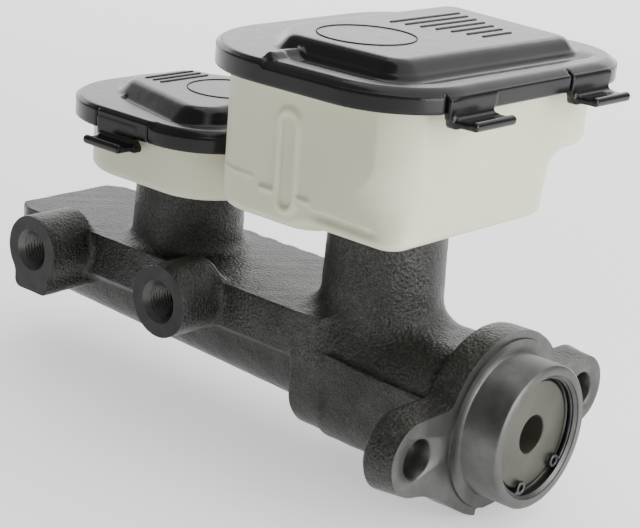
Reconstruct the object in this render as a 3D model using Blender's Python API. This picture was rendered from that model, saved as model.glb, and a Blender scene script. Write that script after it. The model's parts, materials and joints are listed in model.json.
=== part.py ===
"""Tandem brake master cylinder with two plastic reservoirs.

Metres, +Z up.  The bore runs along X and the pushrod end faces +X.  The origin
is the centre of the mounting flange's rear face.  The outlet ports face -Y.
"""
import math

import bmesh
import bpy
from mathutils import Matrix, Vector

MM = 0.001

# Driving sizes, in millimetres.
STUD_SPACING = 85.725
PILOT_RADIUS = 23.4
PILOT_END_X = 14.2
FLANGE_RADIUS = 30.5
FLANGE_THICK = 13.0
EAR_THICK = 10.7
EAR_RADIUS = 12.6
EAR_HOLE_RADIUS = 6.2
EAR_STEPS = 16
FLANGE_WEB_Y = 17.5
NOTCH_HALF_WIDTH = 9.8
NOTCH_TOP_Z = -26.8
LARGE_BORE_RADIUS = 18.2
SMALL_BORE_RADIUS = 11.1
BORE_STEP_X = -38.0
BORE_END_X = -203.0
CASTING_FRONT_X = -212.0
DECK_HALF_WIDTH = 24.9
DECK_TOP_Z = 22.3
DECK_LOW_Z = 6.8
PISTON_REAR_X = 10.8
PORT_FACE_Y = -42.5
PORT_Z = 15.5
FRONT_PORT_X = -179.9
REAR_PORT_X = -113.6
PORT_BOSS_RADIUS = 12.5
FRONT_TOWER_X = -144.2
REAR_TOWER_X = -52.9
FRONT_TOWER_TOP_Z = 49.2
REAR_TOWER_TOP_Z = 57.3
COVER_OVERLAP = 7.2
DIAPHRAGM_DROP = 4.1
LUG_HALF_LENGTH = 9.0
# Feed and bypass holes from the towers into the bore: (x, radius, top z).
FEED_HOLES = ((-142.6, 2.0, 34.0), (-154.0, 0.9, 34.0), (-45.5, 2.0, 30.0), (-58.0, 0.9, 30.0))
COLLAR_FRONT_X = -68.5
COLLAR_REAR_X = -53.6
REAR_BARREL_RADIUS = 22.4

SEGMENTS = 30
FINE_SEGMENTS = 42


# ---------------------------------------------------------------- materials

def principled(name, colour, roughness, metallic):
    """Return one plain surface with the given base values."""
    material = bpy.data.materials.new(name)
    material.use_nodes = True
    shader = material.node_tree.nodes["Principled BSDF"]
    shader.inputs["Base Color"].default_value = (*colour, 1.0)
    shader.inputs["Roughness"].default_value = roughness
    shader.inputs["Metallic"].default_value = metallic
    material.diffuse_color = (*colour, 1.0)
    return material


def make_materials():
    """Return the surfaces shared by the sub-parts, by plain name."""
    return {
        "cast_iron": principled("cast_iron", (0.060, 0.060, 0.062), 0.55, 0.7),
        "brass": principled("brass", (0.55, 0.40, 0.18), 0.35, 1.0),
        "spring_steel": principled("spring_steel", (0.23, 0.23, 0.24), 0.35, 1.0),
        "aluminium": principled("aluminium", (0.30, 0.29, 0.24), 0.45, 0.9),
        "bright_steel": principled("bright_steel", (0.60, 0.60, 0.60), 0.2, 1.0),
        "seal_rubber": principled("seal_rubber", (0.018, 0.018, 0.020), 0.7, 0.0),
        "ivory_plastic": principled("ivory_plastic", (0.66, 0.66, 0.55), 0.45, 0.0),
        "cover_plastic": principled("cover_plastic", (0.010, 0.010, 0.011), 0.22, 0.0),
        "valve_plastic": principled("valve_plastic", (0.20, 0.21, 0.22), 0.5, 0.0),
    }


# ------------------------------------------------------------ shape helpers

def link_mesh(name, mesh_data):
    """Turn a bmesh given in millimetres into a linked object in metres."""
    bmesh.ops.remove_doubles(mesh_data, verts=mesh_data.verts, dist=0.0005)
    bmesh.ops.recalc_face_normals(mesh_data, faces=mesh_data.faces)
    bmesh.ops.scale(mesh_data, vec=Vector((MM, MM, MM)), verts=mesh_data.verts)
    mesh = bpy.data.meshes.new(name)
    mesh_data.to_mesh(mesh)
    mesh_data.free()
    obj = bpy.data.objects.new(name, mesh)
    bpy.context.scene.collection.objects.link(obj)
    return obj


def turned(name, profile, axis, centre=(0.0, 0.0, 0.0), segments=SEGMENTS, phase=0.0):
    """Turn a closed outline of (along, radius) points about one axis.

    The outline runs once around the section of the material.  The phase, in
    degrees, turns the facets so that nested round shapes never line up.
    """
    shape = bmesh.new()
    points = [shape.verts.new((radius, 0.0, along)) for along, radius in profile]
    edges = []
    for index, point in enumerate(points):
        following = points[(index + 1) % len(points)]
        if point.co.x < 1e-9 and following.co.x < 1e-9:
            continue
        edges.append(shape.edges.new((point, following)))
    bmesh.ops.spin(
        shape, geom=points + edges, cent=(0, 0, 0), axis=(0, 0, 1),
        angle=math.tau, steps=segments, use_merge=True, use_duplicate=False)
    bmesh.ops.rotate(
        shape, cent=(0, 0, 0), matrix=Matrix.Rotation(math.radians(phase), 3, "Z"),
        verts=shape.verts)
    if axis == "X":
        turn = Matrix(((0, 0, 1, 0), (0, 1, 0, 0), (-1, 0, 0, 0), (0, 0, 0, 1)))
    elif axis == "Y":
        turn = Matrix(((1, 0, 0, 0), (0, 0, 1, 0), (0, -1, 0, 0), (0, 0, 0, 1)))
    else:
        turn = Matrix.Identity(4)
    bmesh.ops.transform(
        shape, matrix=Matrix.Translation(centre) @ turn, verts=shape.verts)
    return link_mesh(name, shape)


def rod(name, radius, start, end, axis, centre=(0.0, 0.0, 0.0), segments=SEGMENTS,
        phase=0.0):
    """Return a plain solid cylinder between two places along an axis."""
    profile = [(start, 0.0), (start, radius), (end, radius), (end, 0.0)]
    return turned(name, profile, axis, centre, segments, phase)


def prism(name, outline, low, high, axis="Z"):
    """Return a straight solid over a closed outline.

    The outline is (x, y) for axis Z and (y, z) for axis X.
    """
    shape = bmesh.new()
    if axis == "Z":
        places = [(a, b, low) for a, b in outline]
        move = Vector((0, 0, high - low))
    else:
        places = [(low, a, b) for a, b in outline]
        move = Vector((high - low, 0, 0))
    face = shape.faces.new([shape.verts.new(place) for place in places])
    result = bmesh.ops.extrude_face_region(shape, geom=[face])
    moved = [item for item in result["geom"] if isinstance(item, bmesh.types.BMVert)]
    bmesh.ops.translate(shape, vec=move, verts=moved)
    return link_mesh(name, shape)


def box(name, low, high):
    """Return a box between two corners."""
    outline = [(low[0], low[1]), (high[0], low[1]), (high[0], high[1]), (low[0], high[1])]
    return prism(name, outline, low[2], high[2])


def loft(name, outlines):
    """Join outlines of equal length, each (points, z), into one closed solid."""
    shape = bmesh.new()
    rings = []
    for points, height in outlines:
        rings.append([shape.verts.new((x, y, height)) for x, y in points])
    count = len(rings[0])
    for lower, upper in zip(rings, rings[1:]):
        for index in range(count):
            after = (index + 1) % count
            shape.faces.new((lower[index], lower[after], upper[after], upper[index]))
    shape.faces.new(list(reversed(rings[0])))
    shape.faces.new(rings[-1])
    return link_mesh(name, shape)


def rounded_outline(x_low, x_high, y_low, y_high, radius, low_radius=None, steps=6):
    """Return a rectangle outline with round corners, counter-clockwise.

    The two corners at x_low may have a radius of their own.
    """
    low_radius = radius if low_radius is None else low_radius
    corners = [
        (x_high - radius, y_high - radius, 0.0, radius),
        (x_low + low_radius, y_high - low_radius, 90.0, low_radius),
        (x_low + low_radius, y_low + low_radius, 180.0, low_radius),
        (x_high - radius, y_low + radius, 270.0, radius),
    ]
    points = []
    for centre_x, centre_y, start, radius in corners:
        for step in range(steps + 1):
            angle = math.radians(start + 90.0 * step / steps)
            points.append((centre_x + radius * math.cos(angle),
                           centre_y + radius * math.sin(angle)))
    return points


def apply_boolean(target, tool, operation, solver="EXACT"):
    """Combine a tool into a target and remove the tool."""
    modifier = target.modifiers.new(operation.lower(), "BOOLEAN")
    modifier.operation = operation
    modifier.solver = solver
    modifier.object = tool
    bpy.context.view_layer.update()
    evaluated = target.evaluated_get(bpy.context.evaluated_depsgraph_get())
    mesh = bpy.data.meshes.new_from_object(evaluated)
    target.modifiers.clear()
    old = target.data
    target.data = mesh
    mesh.name = target.name
    bpy.data.meshes.remove(old)
    bpy.data.objects.remove(tool)


def join(target, *tools):
    """Fuse the tools into the target."""
    for tool in tools:
        apply_boolean(target, tool, "UNION")
    return target


def cut(target, *tools):
    """Cut the tools out of the target."""
    for tool in tools:
        apply_boolean(target, tool, "DIFFERENCE")
    return target


def finish(obj, material, angle=32.0):
    """Give a sub-part its surface and smooth round faces."""
    obj.data.materials.clear()
    obj.data.materials.append(material)
    for polygon in obj.data.polygons:
        polygon.use_smooth = True
        polygon.material_index = 0
    obj.data.set_sharp_from_angle(angle=math.radians(angle))
    return obj


def coil(name, radius, wire, start, end, turns, axis, centre=(0.0, 0.0, 0.0),
         steps=12, sides=5):
    """Return a closed round-wire coil spring between two places on an axis."""
    shape = bmesh.new()
    total = int(turns * steps)
    first = start + wire
    last = end - wire
    if start > end:
        first = start - wire
        last = end + wire
    rings = []
    for index in range(total + 1):
        share = index / total
        angle = math.tau * turns * share
        along = first + (last - first) * share
        middle = Vector((radius * math.cos(angle), radius * math.sin(angle), along))
        outward = Vector((math.cos(angle), math.sin(angle), 0.0))
        ring = []
        for side in range(sides):
            turn = math.tau * side / sides
            offset = outward * (wire * math.cos(turn))
            offset += Vector((0, 0, wire * math.sin(turn)))
            ring.append(shape.verts.new(middle + offset))
        rings.append(ring)
    for lower, upper in zip(rings, rings[1:]):
        for side in range(sides):
            after = (side + 1) % sides
            shape.faces.new((lower[side], lower[after], upper[after], upper[side]))
    shape.faces.new(list(reversed(rings[0])))
    shape.faces.new(rings[-1])
    if axis == "X":
        bmesh.ops.rotate(
            shape, cent=(0, 0, 0), matrix=Matrix.Rotation(math.radians(90), 3, "Y"),
            verts=shape.verts)
    bmesh.ops.translate(shape, vec=Vector(centre), verts=shape.verts)
    return link_mesh(name, shape)


def set_origin(obj, place):
    """Move the object's origin to a place given in millimetres."""
    offset = Vector(place) * MM
    obj.data.transform(Matrix.Translation(-offset))
    obj.location = offset


# ------------------------------------------------------------- the casting

def ear_outline():
    """Return the (y, z) outline of the mounting plate's two ears.

    Each ear joins the round flange with a level web on top and a sloping web below.
    """
    half = STUD_SPACING / 2.0
    side = [
        (FLANGE_WEB_Y, -FLANGE_RADIUS + 4.9), (30.0, -18.0), (35.5, -14.2),
    ]
    for step in range(EAR_STEPS + 1):
        angle = math.radians(-105.0 + 195.0 * step / EAR_STEPS)
        side.append((half + EAR_RADIUS * math.cos(angle), EAR_RADIUS * math.sin(angle)))
    side.append((half - 9.0, EAR_RADIUS - 0.8))
    side.append((half - 18.0, EAR_RADIUS - 0.6))
    side.append((FLANGE_WEB_Y, FLANGE_RADIUS - 6.5))
    mirrored = [(-y, z) for y, z in reversed(side)]
    return side + mirrored


def tower(name, x, base_z, foot_z, top_z, base_radius, top_radius):
    """Return a reservoir tower with a flared foot."""
    profile = [
        (base_z, 0.0), (base_z, base_radius + 4.6), (foot_z, base_radius + 4.6),
        (foot_z + 1.0, base_radius + 2.2), (foot_z + 3.0, base_radius + 0.7),
        (foot_z + 6.0, base_radius), (top_z - 0.8, top_radius),
        (top_z, top_radius - 0.8), (top_z, 0.0),
    ]
    return turned(name, profile, "Z", (x, 0.0, 0.0), FINE_SEGMENTS, phase=1.9)


def port_boss(name, x):
    """Return an outlet boss that widens toward the casting."""
    profile = [
        (PORT_FACE_Y, 0.0), (PORT_FACE_Y, PORT_BOSS_RADIUS - 0.5),
        (PORT_FACE_Y + 0.5, PORT_BOSS_RADIUS),
        (-28.5, PORT_BOSS_RADIUS + 0.2), (-25.8, PORT_BOSS_RADIUS + 1.0),
        (-24.3, PORT_BOSS_RADIUS + 2.4), (-12.0, PORT_BOSS_RADIUS + 2.4), (-12.0, 0.0),
    ]
    return turned(name, profile, "Y", (x, 0.0, PORT_Z), phase=2.7)


def port_cutter(name, x):
    """Return the threaded outlet hole with its mouth chamfer and drilling."""
    profile = [
        (PORT_FACE_Y - 2.0, 0.0), (PORT_FACE_Y - 2.0, 8.6), (PORT_FACE_Y + 1.0, 6.0),
        (-27.0, 6.0), (-27.0, 1.9), (-8.0, 1.9), (-8.0, 0.0),
    ]
    return turned(name, profile, "Y", (x, 0.0, PORT_Z), 24, phase=4.4)


def bore_cutter():
    """Return the stepped bore with its mouth and snap ring groove."""
    profile = [
        (PILOT_END_X + 2.0, 0.0), (PILOT_END_X + 2.0, 19.2), (13.0, 19.2),
        (13.0, 20.6), (11.0, 20.6), (11.0, LARGE_BORE_RADIUS),
        (BORE_STEP_X, LARGE_BORE_RADIUS), (BORE_STEP_X - 3.0, SMALL_BORE_RADIUS),
        (BORE_END_X, SMALL_BORE_RADIUS), (BORE_END_X - 3.5, 2.0),
        (BORE_END_X - 3.5, 0.0),
    ]
    return turned("bore_cutter", profile, "X", segments=FINE_SEGMENTS, phase=4.1)


def nose_corner(side):
    """Return the (x, y) triangle that takes off one front corner of the deck."""
    edge = side * DECK_HALF_WIDTH
    points = [
        (CASTING_FRONT_X - 5.0, edge - side * 7.5), (CASTING_FRONT_X - 5.0, edge + side * 5.0),
        (CASTING_FRONT_X + 15.0, edge + side * 5.0),
    ]
    return points if side < 0.0 else list(reversed(points))


def make_cylinder_body(material):
    """Build the iron casting with every machined hole."""
    deck_section = [
        (-DECK_HALF_WIDTH, DECK_TOP_Z), (-DECK_HALF_WIDTH, DECK_LOW_Z),
        (-16.5, 1.0), (16.5, 1.0), (DECK_HALF_WIDTH, DECK_LOW_Z),
        (DECK_HALF_WIDTH, DECK_TOP_Z),
    ]
    body = prism("cylinder_body", deck_section, CASTING_FRONT_X, -59.3, "X")
    front_barrel = turned(
        "front_barrel",
        [(-210.5, 0.0), (-210.5, 11.0), (-207.0, 14.3), (-50.0, 18.4), (-50.0, 0.0)],
        "X", segments=FINE_SEGMENTS, phase=1.1)
    collar = prism(
        "collar", rounded_outline(-24.5, 24.5, -19.6, 21.8, radius=19.0),
        COLLAR_FRONT_X, COLLAR_REAR_X, "X")
    rear_barrel = turned(
        "rear_barrel",
        [(-66.0, 0.0), (-66.0, 18.0), (-58.0, REAR_BARREL_RADIUS - 1.0),
         (-50.0, REAR_BARREL_RADIUS), (-5.0, REAR_BARREL_RADIUS), (-5.0, 0.0)],
        "X", segments=FINE_SEGMENTS, phase=2.3)
    ring = turned(
        "ring",
        [(-FLANGE_THICK, 0.0), (-FLANGE_THICK, FLANGE_RADIUS - 3.6),
         (-FLANGE_THICK + 5.4, FLANGE_RADIUS), (-1.2, FLANGE_RADIUS),
         (-0.3, FLANGE_RADIUS - 0.9), (-0.3, 0.0)],
        "X", segments=FINE_SEGMENTS, phase=3.7)
    pilot = turned(
        "pilot",
        [(-2.0, 0.0), (-2.0, 26.3), (0.8, 26.3), (0.8, PILOT_RADIUS),
         (PILOT_END_X - 0.8, PILOT_RADIUS), (PILOT_END_X, PILOT_RADIUS - 0.8),
         (PILOT_END_X, 0.0)],
        "X", segments=FINE_SEGMENTS, phase=5.3)
    ears = prism("ears", ear_outline(), -EAR_THICK, 0.0, "X")
    front_tower = tower(
        "front_tower", FRONT_TOWER_X, base_z=12.0, foot_z=21.9, top_z=FRONT_TOWER_TOP_Z,
        base_radius=20.2, top_radius=19.0)
    rear_tower = tower(
        "rear_tower", REAR_TOWER_X, base_z=5.0, foot_z=18.5, top_z=REAR_TOWER_TOP_Z,
        base_radius=20.8, top_radius=19.8)
    front_boss = port_boss("front_boss", FRONT_PORT_X)
    rear_boss = port_boss("rear_boss", REAR_PORT_X)
    lug = box(
        "lug", (FRONT_PORT_X - LUG_HALF_LENGTH + 0.2, PORT_FACE_Y + 0.25, 0.0),
        (FRONT_PORT_X + LUG_HALF_LENGTH + 0.2, -18.0, PORT_Z))
    join(body, front_barrel, rear_barrel, collar, ring, ears, pilot)
    for side in (-1.0, 1.0):
        cut(body, prism("corner", nose_corner(side), DECK_LOW_Z - 9.0, DECK_TOP_Z + 9.0))
    join(body, front_tower, rear_tower, front_boss, rear_boss, lug)

    notch = box(
        "notch", (-FLANGE_THICK - 2.0, -NOTCH_HALF_WIDTH, NOTCH_TOP_Z - 8.0),
        (3.0, NOTCH_HALF_WIDTH, NOTCH_TOP_Z))
    cut(body, notch, bore_cutter())
    for side in (-1.0, 1.0):
        hole = rod(
            "ear_hole", EAR_HOLE_RADIUS, -EAR_THICK - 6.0, 6.0, "X",
            (0.0, side * STUD_SPACING / 2.0, 0.0), 28)
        cut(body, hole)
    cut(body, port_cutter("front_port_cutter", FRONT_PORT_X),
        port_cutter("rear_port_cutter", REAR_PORT_X))
    front_socket = turned(
        "front_socket", [(31.0, 0.0), (31.0, 14.0), (60.0, 14.0), (60.0, 0.0)],
        "Z", (FRONT_TOWER_X, 0.0, 0.0), phase=3.3)
    rear_socket = turned(
        "rear_socket",
        [(26.0, 0.0), (26.0, 11.0), (43.0, 11.0), (43.0, 14.5), (70.0, 14.5), (70.0, 0.0)],
        "Z", (REAR_TOWER_X, 0.0, 0.0), phase=3.3)
    cut(body, front_socket, rear_socket)
    for x, radius, top_z in FEED_HOLES:
        cut(body, rod("feed", radius, 6.0, top_z, "Z", (x, 0.0, 0.0), 10, phase=7.0))
    return finish(body, material)


def make_tube_seat(name, x, material):
    """Build the pressed brass cone at the bottom of an outlet port."""
    profile = [
        (-27.3, 2.0), (-27.3, 5.7), (-30.5, 5.7), (-31.3, 4.9), (-33.6, 2.6),
        (-33.6, 1.6), (-29.0, 1.6),
    ]
    seat = turned(name, profile, "Y", (x, 0.0, PORT_Z), 28)
    return finish(seat, material)


def make_snap_ring(material):
    """Build the open wire ring with two eyelets that holds the pistons in."""
    mean_radius = 19.45
    half_width = 0.85
    inner = mean_radius - half_width
    outer = mean_radius + half_width
    middle = 284.6
    half_gap = 30.0
    outline = []
    steps = 34
    start = middle + half_gap
    sweep = 360.0 - 2.0 * half_gap
    for step in range(steps + 1):
        angle = math.radians(start + sweep * step / steps)
        outline.append((outer * math.cos(angle), outer * math.sin(angle)))
    for step in range(steps, -1, -1):
        angle = math.radians(start + sweep * step / steps)
        outline.append((inner * math.cos(angle), inner * math.sin(angle)))
    ring = prism("snap_ring", outline, 11.3, 12.7, "X")
    for side in (-1.0, 1.0):
        angle = math.radians(middle + side * (half_gap + 1.0))
        place = (0.0, 17.0 * math.cos(angle), 17.0 * math.sin(angle))
        eye = rod("eye", 2.3, 11.3, 12.7, "X", place, 18)
        join(ring, eye)
        cut(ring, rod("eye_hole", 0.9, 10.0, 14.0, "X", place, 12))
    return finish(ring, material)


# ---------------------------------------------------- pistons and their seals

def make_primary_piston(material):
    """Build the stepped piston that the pushrod pushes on."""
    profile = [
        (PISTON_REAR_X, 6.2), (PISTON_REAR_X, 17.2), (PISTON_REAR_X - 0.6, 17.8),
        (5.5, 17.8), (5.5, 13.5), (0.5, 13.5), (0.5, 17.8), (-2.5, 17.8),
        (-2.5, 9.5), (-44.5, 9.5), (-44.5, 10.75), (-47.5, 10.75), (-47.5, 6.0),
        (-57.0, 6.0), (-57.0, 0.0), (-3.5, 0.0), (-0.5, 5.0),
    ]
    piston = turned("primary_piston", profile, "X", segments=SEGMENTS)
    return finish(piston, material)


def make_secondary_piston(material):
    """Build the floating piston that feeds the front circuit."""
    profile = [
        (-116.2, 0.0), (-116.2, 10.75), (-117.4, 10.75), (-117.4, 7.5), (-121.0, 7.5),
        (-121.0, 10.75), (-121.8, 10.75), (-121.8, 7.5), (-125.4, 7.5),
        (-125.4, 10.75), (-126.4, 10.75), (-126.4, 7.0), (-146.0, 7.0),
        (-146.0, 10.75), (-147.6, 10.75), (-147.6, 5.5), (-157.0, 5.5), (-157.0, 0.0),
    ]
    piston = turned("secondary_piston", profile, "X", segments=26)
    return finish(piston, material)


def make_lip_seal(name, heel_x, lip_x, inner, outer, material):
    """Build a cup seal whose open side faces lip_x."""
    depth = lip_x - heel_x
    wall = (outer - inner) * 0.28
    notch = heel_x + depth * 0.45
    profile = [
        (heel_x, inner), (heel_x, outer - 0.3), (lip_x, outer),
        (lip_x, outer - wall), (notch, outer - wall - 0.3), (notch, inner + wall),
        (lip_x, inner + wall - 0.3), (lip_x, inner),
    ]
    return finish(turned(name, profile, "X", segments=24), material)


def make_washer(name, start_x, end_x, inner, outer, material):
    """Build a thin washer that backs up a cup."""
    profile = [(start_x, inner), (start_x, outer), (end_x, outer), (end_x, inner)]
    return finish(turned(name, profile, "X", segments=24), material)


def make_spring_retainer(name, start_x, inner, outer, material):
    """Build the pressed cup that seats a spring on a piston nose."""
    profile = [
        (start_x, inner), (start_x, outer), (start_x - 1.1, outer),
        (start_x - 1.1, inner + 0.9), (start_x - 3.0, inner + 0.9),
        (start_x - 3.0, inner),
    ]
    return finish(turned(name, profile, "X", segments=24), material)


def make_spring(name, radius, wire, start_x, end_x, turns, material):
    """Build a return spring along the bore."""
    return finish(coil(name, radius, wire, start_x, end_x, turns, "X"), material)


# ------------------------------------------------------- quick take-up valve

def make_takeup_valve(materials):
    """Build the small valve in the bottom of the rear tower."""
    centre = (REAR_TOWER_X, 0.0, 0.0)
    body = turned(
        "takeup_valve_body",
        [(26.4, 1.5), (26.4, 8.4), (32.6, 8.4), (32.6, 10.6), (39.6, 10.6),
         (39.6, 3.1), (31.6, 3.1), (30.0, 1.5)],
        "Z", centre, 32)
    finish(body, materials["valve_plastic"])
    seal = turned(
        "takeup_valve_seal",
        [(26.9, 8.7), (26.9, 10.6), (27.9, 10.6), (30.4, 9.7), (32.2, 9.7), (32.2, 8.7)],
        "Z", centre, 32)
    finish(seal, materials["seal_rubber"])
    ball_shape = bmesh.new()
    bmesh.ops.create_uvsphere(ball_shape, u_segments=16, v_segments=10, radius=2.4)
    bmesh.ops.translate(
        ball_shape, vec=Vector((REAR_TOWER_X, 0.0, 33.7)), verts=ball_shape.verts)
    ball = finish(link_mesh("takeup_ball", ball_shape), materials["bright_steel"])
    set_origin(ball, (REAR_TOWER_X, 0.0, 33.7))
    ball_spring = coil(
        "takeup_ball_spring", 1.9, 0.25, 36.4, 39.9, 4, "Z", centre, steps=8, sides=4)
    finish(ball_spring, materials["spring_steel"])
    cap = turned(
        "takeup_valve_cap",
        [(40.2, 1.0), (40.2, 10.6), (41.4, 10.6), (41.4, 1.0)], "Z", centre, 32)
    finish(cap, materials["valve_plastic"])
    return body, seal, ball, ball_spring, cap


# ---------------------------------------------------------------- reservoirs

def make_grommet(name, x, low, high, inner, outer, material):
    """Build the rubber sleeve that seals a reservoir neck in its tower."""
    rib = inner + 0.5
    profile = [
        (low, rib), (low, outer - 0.8), (low + 2.0, outer), (high - 0.8, outer),
        (high, outer - 0.8), (high, inner), (low + 2.0, inner),
    ]
    return finish(turned(name, profile, "Z", (x, 0.0, 0.0), 32), material)


def inset(outline_box, amount):
    """Shrink an (x_low, x_high, y_low, y_high, radius, low_radius) box."""
    x_low, x_high, y_low, y_high, radius, low_radius = outline_box
    return (x_low + amount, x_high - amount, y_low + amount, y_high - amount,
            max(radius - amount, 1.0), max(low_radius - amount, 1.0))


def outline_of(outline_box):
    """Return the points of an outline box."""
    return rounded_outline(*outline_box)


FRONT_COVER_BOX = (-182.0, -97.6, -39.7, 39.7, 25.0, 32.0)
FRONT_WALL_BOX = (-173.5, -101.5, -35.0, 35.0, 21.0, 30.0)
FRONT_COVER_TOP_Z = 74.0
FRONT_PANEL_TOP_Z = 79.0
FRONT_BOTTOM_Z = 49.7

REAR_COVER_BOX = (-100.8, -4.2, -58.5, 65.0, 27.0, 39.0)
REAR_WALL_BOX = (-92.0, -12.6, -48.0, 57.5, 20.0, 23.0)
REAR_LOW_BOX = (-92.0, -12.6, -48.0, 35.0, 16.0, 23.0)
REAR_COVER_TOP_Z = 109.5
REAR_PANEL_TOP_Z = 114.3
REAR_TAB_OFFSET = 30.2
REAR_BOTTOM_Z = 57.8
REAR_SHELF_Z = 60.2
REAR_STEP_Z = 81.0
WALL = 2.4
SUMP_BOX = (-91.8, -44.0, -47.9, 34.9, 14.0, 20.0)
SLOT_FRAME_BOX = (-62.6, -52.4, -48.9, -46.5, 1.0)
SLOT_FRAME_LOW_Z = 63.0
SLOT_FRAME_TOP_Z = 94.0


def make_neck(body, x, low, high, outer, inner):
    """Add the round neck under a reservoir and open its bore."""
    neck = rod("neck", outer, low, high, "Z", (x, 0.0, 0.0), 32)
    join(body, neck)
    cut(body, rod("neck_bore", inner, low - 2.0, high + 4.0, "Z", (x, 0.0, 0.0), 28))


def make_front_reservoir(material):
    """Build the small reservoir with its rim flange and neck."""
    top = FRONT_COVER_TOP_Z - COVER_OVERLAP + 0.4
    outer = loft("front_reservoir", [
        (outline_of(inset(FRONT_WALL_BOX, 1.8)), FRONT_BOTTOM_Z),
        (outline_of(inset(FRONT_WALL_BOX, 0.6)), FRONT_BOTTOM_Z + 0.7),
        (outline_of(FRONT_WALL_BOX), FRONT_BOTTOM_Z + 2.2),
        (outline_of(FRONT_WALL_BOX), top + 0.2),
    ])
    rim = prism("rim", outline_of(inset(FRONT_COVER_BOX, 2.8)), top, top + 2.4)
    join(outer, rim)
    cavity = loft("cavity", [
        (outline_of(inset(FRONT_WALL_BOX, 2.0 + WALL)), FRONT_BOTTOM_Z + WALL),
        (outline_of(inset(FRONT_WALL_BOX, WALL)), FRONT_BOTTOM_Z + WALL + 2.4),
        (outline_of(inset(FRONT_WALL_BOX, WALL)), top + 6.0),
    ])
    cut(outer, cavity)
    make_neck(outer, FRONT_TOWER_X, 34.0, FRONT_BOTTOM_Z + 1.0, 10.0, 7.6)
    return finish(outer, material)


def make_rear_reservoir(material):
    """Build the large reservoir: low body, wide top on one side, rim and neck."""
    top = REAR_COVER_TOP_Z - COVER_OVERLAP + 0.4
    low_box = REAR_LOW_BOX
    outer = loft("rear_reservoir", [
        (outline_of(inset(low_box, 2.5)), REAR_SHELF_Z),
        (outline_of(low_box), REAR_SHELF_Z + 3.0),
        (outline_of(low_box), REAR_STEP_Z - 6.0),
        (outline_of((*low_box[:3], low_box[3] + 3.0, *low_box[4:])), REAR_STEP_Z),
        (outline_of(REAR_WALL_BOX), REAR_STEP_Z + 1.5),
        (outline_of(REAR_WALL_BOX), top + 0.2),
    ])
    sump = loft("sump", [
        (outline_of(inset(SUMP_BOX, 3.0)), REAR_BOTTOM_Z),
        (outline_of(inset(SUMP_BOX, 0.6)), REAR_BOTTOM_Z + 2.0),
        (outline_of(inset(SUMP_BOX, 0.6)), REAR_SHELF_Z + 4.0),
    ])
    foot = rod("foot", 17.5, REAR_BOTTOM_Z, REAR_SHELF_Z + 1.0, "Z",
               (REAR_TOWER_X, 0.0, 0.0), 36)
    rim = prism("rim", outline_of(inset(REAR_COVER_BOX, 2.8)), top, top + 2.4)
    slot_frame = prism(
        "slot_frame", rounded_outline(*SLOT_FRAME_BOX, steps=3),
        SLOT_FRAME_LOW_Z, SLOT_FRAME_TOP_Z)
    join(outer, sump, foot, rim, slot_frame)
    cavity = loft("cavity", [
        (outline_of(inset(low_box, 2.5 + WALL)), REAR_SHELF_Z + WALL),
        (outline_of(inset(low_box, WALL)), REAR_SHELF_Z + WALL + 3.0),
        (outline_of(inset(low_box, WALL)), REAR_STEP_Z + WALL - 1.0),
        (outline_of(inset(REAR_WALL_BOX, WALL)), REAR_STEP_Z + WALL + 2.0),
        (outline_of(inset(REAR_WALL_BOX, WALL)), top + 6.0),
    ])
    cut(outer, cavity)
    make_neck(outer, REAR_TOWER_X, 46.0, REAR_BOTTOM_Z + 1.0, 10.4, 7.8)
    return finish(outer, material)


# -------------------------------------------------------------------- covers

def panel_outline(x_front, x_rear, y_near_front, y_near_rear, y_far_front, y_far_rear,
                  radius, steps=5):
    """Return a four-sided panel outline with round corners, counter-clockwise."""
    corners = [Vector((x_rear, y_far_rear)), Vector((x_front, y_far_front)),
               Vector((x_front, y_near_front)), Vector((x_rear, y_near_rear))]
    points = []
    for index, corner in enumerate(corners):
        before = (corners[index - 1] - corner).normalized()
        after = (corners[(index + 1) % 4] - corner).normalized()
        half = before.angle(after) / 2.0
        reach = radius / math.tan(half)
        start = corner + before * reach
        end = corner + after * reach
        centre = corner + (before + after).normalized() * (radius / math.sin(half))
        first = start - centre
        sweep = first.angle_signed(end - centre)
        for step in range(steps + 1):
            turn = Matrix.Rotation(-sweep * step / steps, 2)
            place = centre + turn @ first
            points.append((place.x, place.y))
    return points


def grow(points, amount):
    """Push every point of a closed outline outward along its own normal."""
    count = len(points)
    moved = []
    for index, (x, y) in enumerate(points):
        before = Vector(points[index - 1])
        after = Vector(points[(index + 1) % count])
        along = (after - before).normalized()
        moved.append((x + along.y * amount, y - along.x * amount))
    return moved


def make_cover(name, cover_box, top_z, panel, panel_top):
    """Build one snap cover: rim plate, skirt and hollow raised panel."""
    skirt_low = top_z - COVER_OVERLAP
    cover = loft(name, [
        (outline_of(cover_box), skirt_low),
        (outline_of(inset(cover_box, 0.2)), top_z - 1.3),
        (outline_of(inset(cover_box, 1.6)), top_z),
    ])
    raised = loft("raised", [
        (grow(panel, 3.6), top_z - 1.0), (grow(panel, 2.6), top_z + 1.0),
        (grow(panel, 0.8), panel_top - 0.6), (panel, panel_top),
    ])
    join(cover, raised)
    hollow = prism("hollow", outline_of(inset(cover_box, 2.3)), skirt_low - 1.0,
                   top_z - 2.5)
    cut(cover, hollow)
    pocket = loft("pocket", [
        (grow(panel, 0.6), top_z - 4.0), (grow(panel, 0.2), top_z + 0.2),
        (grow(panel, -1.6), panel_top - 2.2),
    ])
    cut(cover, pocket)
    return cover


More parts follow.
